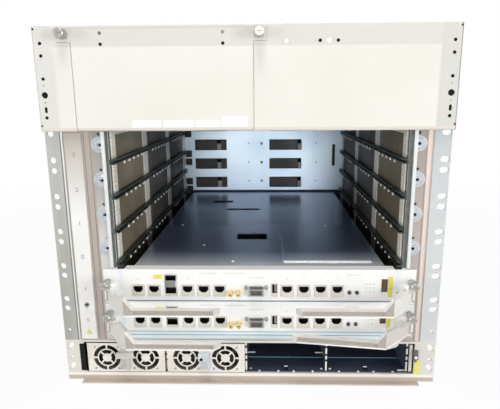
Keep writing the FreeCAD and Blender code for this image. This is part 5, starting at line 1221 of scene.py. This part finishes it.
# Brown plastic of the slot cover: the colour of the display, but satin.
brown_cover = finish("slot_cover_brown", "#8B7257", "#755D45", patch_mm=2, rough=0.35, grit_mm=(0.4, 0.004))
tall_label = label("tall_label", width=5.4, height=27.0, thick=PAPER, radius=0.4)
wide_label = label("wide_label", width=11.0, height=5.2, thick=PAPER, radius=0.4)
slot_cover = label("slot_cover", width=3.0, height=9.2, thick=0.4, radius=0.4)
for card, base in CARD_BASE.items():
    meshes = [
        moved(tall_label, (TALL_X, CARD_FRONT, base + TALL_RISE)),
        moved(wide_label, (WIDE_X, CARD_FRONT, base + WIDE_RISE)),
    ]
    piece(f"{card}_yellow_labels", meshes, yellow_paper, f"{card}_card")
    meshes = [moved(slot_cover, (COVER_X, CARD_FRONT, base + COVER_RISE))]
    piece(f"{card}_slot_cover", meshes, brown_cover, f"{card}_card")

# %% Print of the cards
JACK_FIGURE, FIGURE_RISE = 3.0, 29.0
# Middle from the middle of the cage, rise and length of each printed line.
RULES = ((-64.0, 36.8, 22.0), (-30.0, 36.8, 26.0), (-3.0, 31.0, 18.0), (117.0, 35.0, 16.0))
# Pale screen ink: thin enough to be read only close by.
pale_ink = finish("screen_ink_pale", "#CFCDCB", "#C4C2C0", patch_mm=3, rough=0.6, grit_mm=(0.3, 0.002))
for card, base in CARD_BASE.items():
    meshes = [
        printed(figure, JACK_FIGURE, (CAGE_CENTER + x, CARD_FRONT - INK, base + FIGURE_RISE))
        for x, figure in JACKS.items()
    ]
    for x, rise, length in RULES:
        rule = block("rule", width=length, depth=0.1, height=0.5, bevel=0.02)
        meshes.append(moved(rule, (CAGE_CENTER + x, CARD_FRONT, base + rise)))
    piece(f"{card}_print", meshes, pale_ink, f"{card}_card")

# %% [markdown]
# ## Covers of the cards
# The cover of a card is a flat sheet with a few rivets. A white bar along the front edge of its raised
# plate is a painted highlight, and a blue bar that runs back along the plate's left edge is a painted
# reflection. They rise from the sheet by a millimetre or so, on a surface that is nearly a mirror.

# %% Rivets, lip and fold of the covers
RIVETS = ((-68.8, 99.3), (-21.2, 31.3), (2.2, 166.8), (120.0, 205.0), (-120.0, 210.0))
RIVET_SUNK = 0.8
EDGE_HIGHLIGHT_PLACE, EDGE_REFLECTION_PLACE = (102.0, 30.4, 0.4), (45.0, 92.0, 0.3)
# Bright zinc of rivets, also a painted highlight: near white all over, as the zinc looks where it faces the
# lamps.
rivet_zinc_and_highlight = finish("rivet_zinc_and_highlight", "#FBFCFB", "#F0F3F5", patch_mm=3, metallic=0.2, rough=0.3,
                    grit_mm=(0.3, 0.003))
# Painted reflection along an edge: light blue, as the edge turns from the lamps to the wall.
reflection_zinc = finish("reflection_zinc_blue", "#8DB9D0", "#7CABC4", patch_mm=20, metallic=0.3, rough=0.3,
                   grit_mm=(0.3, 0.003))
rivet = turned("rivet", [(2.3, 0.0), (2.2, 0.5), (1.5, 1.0), (0.6, 1.2)], segments=14)
rivet.transform(Matrix.Rotation(-math.pi / 2, 4, "X"))
plate_lip = block("plate_lip", width=114.0, depth=5.0, height=1.8, bevel=0.4)
plate_fold = block("plate_fold", width=2.6, depth=120.0, height=1.2, bevel=0.3)
for card in CARD_BASE:
    body = f"{card}_card"
    lid = Vector((0, 0, box_mm(f"{card}_carrier")[1].z - RIVET_SUNK))
    meshes = [moved(rivet, lid + Vector((x, y, 0))) for x, y in RIVETS]
    piece(f"{card}_rivets", meshes, rivet_zinc_and_highlight, body)
    piece(f"{card}_plate_lip", [moved(plate_lip, lid + Vector(EDGE_HIGHLIGHT_PLACE))], rivet_zinc_and_highlight, body)
    piece(f"{card}_plate_fold", [moved(plate_fold, lid + Vector(EDGE_REFLECTION_PLACE))], reflection_zinc, body)

# %% [markdown]
# ## On the power modules
# Each module front has small dull screws at the corners of its fan guards, and a latch with a ridged
# grip. The second latch also has a finger hole, shown as a black disc of painted shade. Four screws
# round a fan are a grid of two by two.

# %% Guard screws
GUARD_CORNER = 15.2
# Dull zinc of the guard screws: beige-grey specks on the cream enamel.
screw_dull = finish("screw_zinc_dull", "#B7AB9C", "#A79B8C", patch_mm=3, metallic=0.4, rough=0.4,
                    grit_mm=(0.3, 0.004))
guard_screw = turned("guard_screw", [(1.5, 0.0), (1.5, 0.4), (1.1, 0.7), (0.5, 0.8)], segments=14)
corner_step = 2 * GUARD_CORNER
for number in (1, 2):
    meshes = []
    for letter in "ab":
        low, high = box_mm(f"module_fan_{number}{letter}")
        center = (low + high) / 2
        start = (center.x - GUARD_CORNER, 0.0, center.z - GUARD_CORNER)
        meshes.append(rows(guard_screw, screw_dull, start, (corner_step, 0, 0), 2, (0, 0, corner_step), 2))
    piece(f"module_{number}_guard_screws", meshes, screw_dull, f"power_module_{number}")

# %% Latch grips
# Width, height, place and finish of each grip.
GRIPS = {
    "module_latch_1": (22.0, 8.8, -159.0, 42.0, "latch_plastic"),
    "module_latch_2": (14.4, 11.2, -57.6, 40.0, "latch_cool"),
}
GRIP_PROUD, RIDGE_PROUD, RIDGE_DROP, RIDGE_SHORT = 0.8, 2.1, 2.4, 3.0
HOLE_X, HOLE_Z, FINGER_HOLE_PROUD = -60.8, 37.6, 2.0
for latch, (width, tall, x, z, look) in GRIPS.items():
    latch_front = box_mm(latch)[0].y
    grip = block("grip", width=width, depth=2.4, height=tall, bevel=0.8)
    ridge = block("grip_ridge", width=width - RIDGE_SHORT, depth=0.8, height=1.6, bevel=0.3)
    meshes = [
        moved(grip, (x, latch_front - GRIP_PROUD, z)),
        moved(ridge, (x, latch_front - RIDGE_PROUD, z + tall / 2 - RIDGE_DROP)),
    ]
    piece(f"{latch}_grip", meshes, finishes[look], latch)
# A black disc of painted shade for the finger hole.
finger_hole_shade = turned("finger_hole_shade", [(2.1, 0.0), (2.1, 0.1), (1.7, 0.15)], segments=18)
latch_front = box_mm("module_latch_2")[0].y
meshes = [moved(finger_hole_shade, (HOLE_X, latch_front - FINGER_HOLE_PROUD, HOLE_Z))]
piece("module_latch_2_hole", meshes, rubber_and_hole_shade, "module_latch_2")

# %% [markdown]
# ## Floor of the empty bays
# The floor of each empty bay shows the rivets and the catch that hold a module, small bright tags and
# a folded edge further in. Most are alike in both bays, so the tree of rows sets them once from the
# middle of the first and repeats them at the next. A few stand outside that pattern, by place.

# %% Measure the bays
BAY_FLOOR, BAYS, FILLED_BAYS = 12.0, 4, 2
PARTITION = 1.2
part_low, part_high = box_mm("bay_partitions")
FIRST_EDGE = part_low.x + PARTITION / 2
BAY_PITCH = (part_high.x - part_low.x - PARTITION) / BAYS
NEXT_BAY = (BAY_PITCH, 0, 0)
empty_bays = BAYS - FILLED_BAYS
first_middle = FIRST_EDGE + (FILLED_BAYS + 0.5) * BAY_PITCH


def in_bays(part, look, depth, rise, offset=0.0):
    """A template at the same place in each empty bay, counted from its middle and its floor."""
    return rows(part, look, (first_middle + offset, depth, BAY_FLOOR + rise), NEXT_BAY, empty_bays)


print("a bay every", round(BAY_PITCH, 1), "mm,", empty_bays, "of them empty")

# %% Rivets, catches and tags of the bays
DOT_OFFSETS, DOT_DEPTH = (-35.0, -10.0, 10.0, 35.0), 4.8
LOOSE_DOTS, LOOSE_DEPTH = (1.6, 95.4, 106.5), 10.6
RESTS, REST_DEPTH, REST_RISE = (1.5, 94.5), 36.0, 8.8
END_REST = (200.5, 8.0, BAY_FLOOR + 0.6)
CATCH_DEPTH, CATCH_RISE = 8.4, 1.2
TAG_DEPTH, TAG_RISE = 11.4, 3.0
FLOOR_EDGE_DEPTH, FLOOR_EDGE_RISE, FLOOR_EDGE_SHORT = 38.0, 0.4, 3.0
bay_dot = turned("bay_dot", [(1.7, 0.0), (1.6, 0.4), (0.9, 0.8)], segments=12)
bay_dot.transform(Matrix.Rotation(-math.pi / 2, 4, "X"))
rest = block("rest", width=11.0, depth=1.6, height=1.6, bevel=0.3)
end_rest = block("rest", width=11.5, depth=2.0, height=1.2, bevel=0.3)
catch = block("catch", width=6.0, depth=4.0, height=2.4, bevel=0.5)
tag = block("tag", width=5.0, depth=0.8, height=1.2, bevel=0.2)
floor_edge = block("floor_edge", width=BAY_PITCH - FLOOR_EDGE_SHORT, depth=1.0, height=0.8, bevel=0.2)
dots = [moved(bay_dot, (x, LOOSE_DEPTH, BAY_FLOOR)) for x in LOOSE_DOTS]
tags = [moved(rest, (x, REST_DEPTH, BAY_FLOOR + REST_RISE)) for x in RESTS]
tags.append(moved(end_rest, END_REST))
dots += [in_bays(bay_dot, rivet_zinc_and_highlight, DOT_DEPTH, 0.0, offset) for offset in DOT_OFFSETS]
tags.append(in_bays(tag, pale_zinc_and_lit_holes, TAG_DEPTH, TAG_RISE))
catches = [in_bays(catch, rubber_and_hole_shade, CATCH_DEPTH, CATCH_RISE)]
# The floor edges carry the painted blue reflection.
floor_edges = [in_bays(floor_edge, reflection_zinc, FLOOR_EDGE_DEPTH, FLOOR_EDGE_RISE)]
piece("bay_rivets", dots, rivet_zinc_and_highlight, "chassis")
piece("bay_catches", catches, rubber_and_hole_shade, "chassis")
piece("bay_tags", tags, pale_zinc_and_lit_holes, "chassis")
piece("bay_floor_edges", floor_edges, reflection_zinc, "chassis")

# %% [markdown]
# ## Edges of the bays
# The walls between the bays end in a bright folded edge with dark notches in it. A thin black sheet
# at the left end of the shelf is painted shade, for the recess beside the first module. At the right
# end sits a small latch with a white knob, beside a blank yellow label.
# The edges repeat from wall to wall, so the tree of rows sets them, and the rest are single blocks.

# %% Bay edges
EDGES = BAYS + 1
EDGE_FRONT, EDGE_MIDDLE = part_low.y - 0.4, BAY_FLOOR + 20.6
NOTCH_FRONT, NOTCH_RISES = EDGE_FRONT - 0.1, (-5.0, 3.0, 14.0)
edge_strip = block("edge_strip", width=2.2, depth=1.0, height=40.0, bevel=0.3)
edge_notch = block("edge_notch", width=2.6, depth=1.2, height=3.0, bevel=0.3)
meshes = [rows(edge_strip, pale_zinc_and_lit_holes, (FIRST_EDGE, EDGE_FRONT, EDGE_MIDDLE), NEXT_BAY, EDGES)]
piece("bay_edges", meshes, pale_zinc_and_lit_holes, "chassis")
meshes = [
    rows(edge_notch, rubber_and_hole_shade, (FIRST_EDGE, NOTCH_FRONT, EDGE_MIDDLE + rise), NEXT_BAY, EDGES)
    for rise in NOTCH_RISES
]
piece("bay_edge_notches", meshes, rubber_and_hole_shade, "chassis")

# %% Seal, end latch and label
shelf_front = box_mm("power_shelf_frame")[0].y
OPENING_MIDDLE = 33.4
END_SHADE_PLACE = (-218.2, shelf_front, OPENING_MIDDLE)
PLATE_PLACE = (209.2, 3.0, OPENING_MIDDLE)
LATCH_END_X = 214.4
BODY_PLACE = (LATCH_END_X, shelf_front - 1.0, 40.0)
TAB_PLACE = (LATCH_END_X, shelf_front - 1.6, 32.0)
KNOB_PLACE = (LATCH_END_X, shelf_front - 2.5, 37.0)
LABEL_PLACE = (217.0, shelf_front, 22.0)
# Dark steel of the end latch: brown-grey, with bright edges that are partly worn and partly painted
# highlight.
latch_dark = finish("latch_steel_dark", "#6F6A64", "#5E5A55", patch_mm=4, metallic=0.4, rough=0.4,
                    grit_mm=(0.4, 0.006), edge="#D6D3CE")
seal = label("left_end_shade", width=6.6, height=38.5, thick=0.3, radius=0.6)
end_plate = block("end_plate", width=4.0, depth=3.0, height=38.0, bevel=0.6)
end_body = block("end_body", width=6.5, depth=3.0, height=13.0, bevel=0.8)
end_tab = block("end_tab", width=3.0, depth=2.0, height=4.0, bevel=0.6)
end_knob = turned("end_knob", [(1.9, 0.0), (1.9, 0.7), (1.2, 1.1)], segments=16)
shelf_label = label("shelf_label", width=5.6, height=20.0, thick=PAPER, radius=0.4)
# Painted shade for the recess at the left end.
piece("shelf_seal", [moved(seal, END_SHADE_PLACE)], rubber_and_hole_shade, "chassis")
piece("shelf_end_plate", [moved(end_plate, PLATE_PLACE)], finishes["latch_plastic"], "chassis")
meshes = [moved(end_body, BODY_PLACE), moved(end_tab, TAB_PLACE)]
piece("shelf_end_latch", meshes, latch_dark, "chassis")
piece("shelf_end_knob", [moved(end_knob, KNOB_PLACE)], white_cap, "chassis")
piece("shelf_label", [moved(shelf_label, LABEL_PLACE)], yellow_paper, "chassis")

# %% [markdown]
# ## Outside walls
# The sides of the tub are riveted to the cage and the shelf inside. Two rows of flat heads along each
# side show that. They stay well inside the width of the rack ears, so that the part's box is the same.

# %% Rivets on the side walls
HEAD_ROWS = (40.0, 335.0)
HEADS, FIRST_HEAD, HEAD_STEP = 6, 60.0, (0, 110.0, 0)
flat_head = turned("flat_head", [(3.0, 0.0), (3.0, 0.4), (2.2, 0.8)], segments=14)
for hand, side in SIDES:
    head = flat_head.copy()
    head.transform(Matrix.Rotation(side * math.pi / 2, 4, "Z"))
    outer_x = tub_high.x if side > 0 else tub_low.x
    meshes = [rows(head, insert_steel, (outer_x, FIRST_HEAD, z), HEAD_STEP, HEADS) for z in HEAD_ROWS]
    piece(f"side_rivets_{hand}", meshes, insert_steel, "chassis")

# %% [markdown]
# ## Studio
# The photograph is a product shot: white all round, with hardly any shadow. More light would bleach
# the paint, so the floor and the world are white only to the camera and in reflections, and the world
# lights the object just weakly. A wide floor keeps a faint shadow under the chassis, and farther off
# it runs out to the white of the world.

# %% Floor
FLOOR_HALF, FLOOR_DROP = 8.0, 0.0003
NEAR_WHITE, FULL_WHITE = 0.94, 1.0
WHITE_FROM, WHITE_TO = 0.6, 1.8
floor_mesh = bpy.data.meshes.new("studio_floor")
corners = [(x * FLOOR_HALF, y * FLOOR_HALF, -FLOOR_DROP) for x, y in ((-1, -1), (1, -1), (1, 1), (-1, 1))]
floor_mesh.from_pydata(corners, [], [(0, 1, 2, 3)])
floor = bpy.data.objects.new("studio_floor", floor_mesh)
bpy.context.scene.collection.objects.link(floor)


def looked_at(tree):
    """1 for rays from the camera and for reflections, 0 for the light that fills the scene."""
    path = add(tree, "ShaderNodeLightPath")
    seen = path.outputs["Is Camera Ray"]
    for kind in ("Is Glossy Ray", "Is Transmission Ray"):
        seen = add(tree, "ShaderNodeMath", {0: seen, 1: path.outputs[kind]}, operation="MAXIMUM").outputs[0]
    return seen


# Studio paper: matt white where the chassis shades it, and pure white farther off.
paper = bpy.data.materials.new("studio_paper")
paper.use_nodes = True
tree = paper.node_tree
tree.nodes.clear()
matt = add(tree, "ShaderNodeBsdfDiffuse", {"Color": linear("#F4F4F4")})
glow = add(tree, "ShaderNodeEmission", {"Color": linear("#FFFFFF"), "Strength": FULL_WHITE})
spot = add(tree, "ShaderNodeTexCoord")
away = add(tree, "ShaderNodeVectorMath", {0: spot.outputs["Object"]}, operation="LENGTH")
white = add(tree, "ShaderNodeMapRange",
            {"Value": away.outputs["Value"], "From Min": WHITE_FROM, "From Max": WHITE_TO,
             "To Min": NEAR_WHITE, "To Max": FULL_WHITE})
share = add(tree, "ShaderNodeMath", {0: looked_at(tree), 1: white.outputs[0]}, operation="MULTIPLY")
mixed = add(tree, "ShaderNodeMixShader", {0: share.outputs[0], 1: matt.outputs[0], 2: glow.outputs[0]})
add(tree, "ShaderNodeOutputMaterial", {"Surface": mixed.outputs[0]})
floor_mesh.materials.append(paper)
print("floor", 2 * FLOOR_HALF, "m wide")

# %% World
FILL = 0.14
world = bpy.data.worlds.new("studio")
bpy.context.scene.world = world
world.use_nodes = True
tree = world.node_tree
tree.nodes.clear()
level = add(tree, "ShaderNodeMapRange", {"Value": looked_at(tree), "To Min": FILL, "To Max": FULL_WHITE})
sky = add(tree, "ShaderNodeBackground", {"Color": linear("#FFFFFF"), "Strength": level.outputs[0]})
add(tree, "ShaderNodeOutputWorld", {"Surface": sky.outputs[0]})
print("fill of the world", FILL)

# %% [markdown]
# ## Lamps
# A large soft lamp in front reaches right to the rear wall of the cage. One at either side lights the
# posts, the right one more strongly, and a small one overhead gives the thumbscrews their shadow.
# Square area lamps do what a photographer's softboxes do, and their size sets how soft a shadow is.

# %% Lamps


def softbox(name, place, aim, width, power):
    """Square soft lamp that faces a point, in metres and watts."""
    lamp_data = bpy.data.lights.new(name, "AREA")
    lamp_data.size = width
    lamp_data.energy = power
    item = bpy.data.objects.new(name, lamp_data)
    item.location = place
    item.rotation_euler = (Vector(aim) - Vector(place)).to_track_quat("-Z", "Y").to_euler()
    bpy.context.scene.collection.objects.link(item)
    print(name, "of", power, "W")


softbox("front_softbox", place=(0.35, -4.4, 0.2), aim=(0.0, 0.3, 0.25), width=1.6, power=54.0)
softbox("right_softbox", place=(3.0, -1.8, 0.6), aim=(-0.1, 0.1, 0.25), width=1.2, power=54.0)
softbox("left_softbox", place=(-3.0, -1.8, 0.6), aim=(0.1, 0.1, 0.25), width=1.2, power=33.0)
softbox("overhead_softbox", place=(0.0, -0.6, 2.1), aim=(0.0, 0.0, 0.3), width=0.7, power=21.0)

# %% [markdown]
# ## Camera
# The camera was found from the rack's own measures: the hole columns are 465.1 mm apart and the holes
# follow a 44.45 mm unit, so their places in the photograph fix the lens and the standpoint.

# %% Camera
IMAGE_WIDTH = 500
FOCAL_PIXELS = 462.615
CAMERA_PLACE = Vector((25.975, -545.150, 363.330)) * MM
YAW, PITCH, ROLL = 0.0252, 0.2096, -0.0068
SHIFT_PIXELS = (7.407, -7.191)
SENSOR = 36.0
NEAREST = 0.01
forward = Vector((-math.sin(YAW) * math.cos(PITCH), math.cos(YAW) * math.cos(PITCH), -math.sin(PITCH)))
level_right = Vector((math.cos(YAW), math.sin(YAW), 0.0))
level_up = level_right.cross(forward)
right = math.cos(ROLL) * level_right + math.sin(ROLL) * level_up
up = math.cos(ROLL) * level_up - math.sin(ROLL) * level_right
camera_data = bpy.data.cameras.new("photo_camera")
camera_data.sensor_fit = "HORIZONTAL"
camera_data.sensor_width = SENSOR
camera_data.lens = FOCAL_PIXELS / IMAGE_WIDTH * SENSOR
camera_data.shift_x = -SHIFT_PIXELS[0] / IMAGE_WIDTH
camera_data.shift_y = SHIFT_PIXELS[1] / IMAGE_WIDTH
camera_data.clip_start = NEAREST
camera = bpy.data.objects.new("photo_camera", camera_data)
camera.matrix_world = Matrix((
    (right.x, up.x, -forward.x, CAMERA_PLACE.x),
    (right.y, up.y, -forward.y, CAMERA_PLACE.y),
    (right.z, up.z, -forward.z, CAMERA_PLACE.z),
    (0, 0, 0, 1)))
bpy.context.scene.collection.objects.link(camera)
bpy.context.scene.camera = camera
bpy.context.scene.view_settings.view_transform = "Standard"
print("camera lens", round(camera_data.lens, 2), "mm")
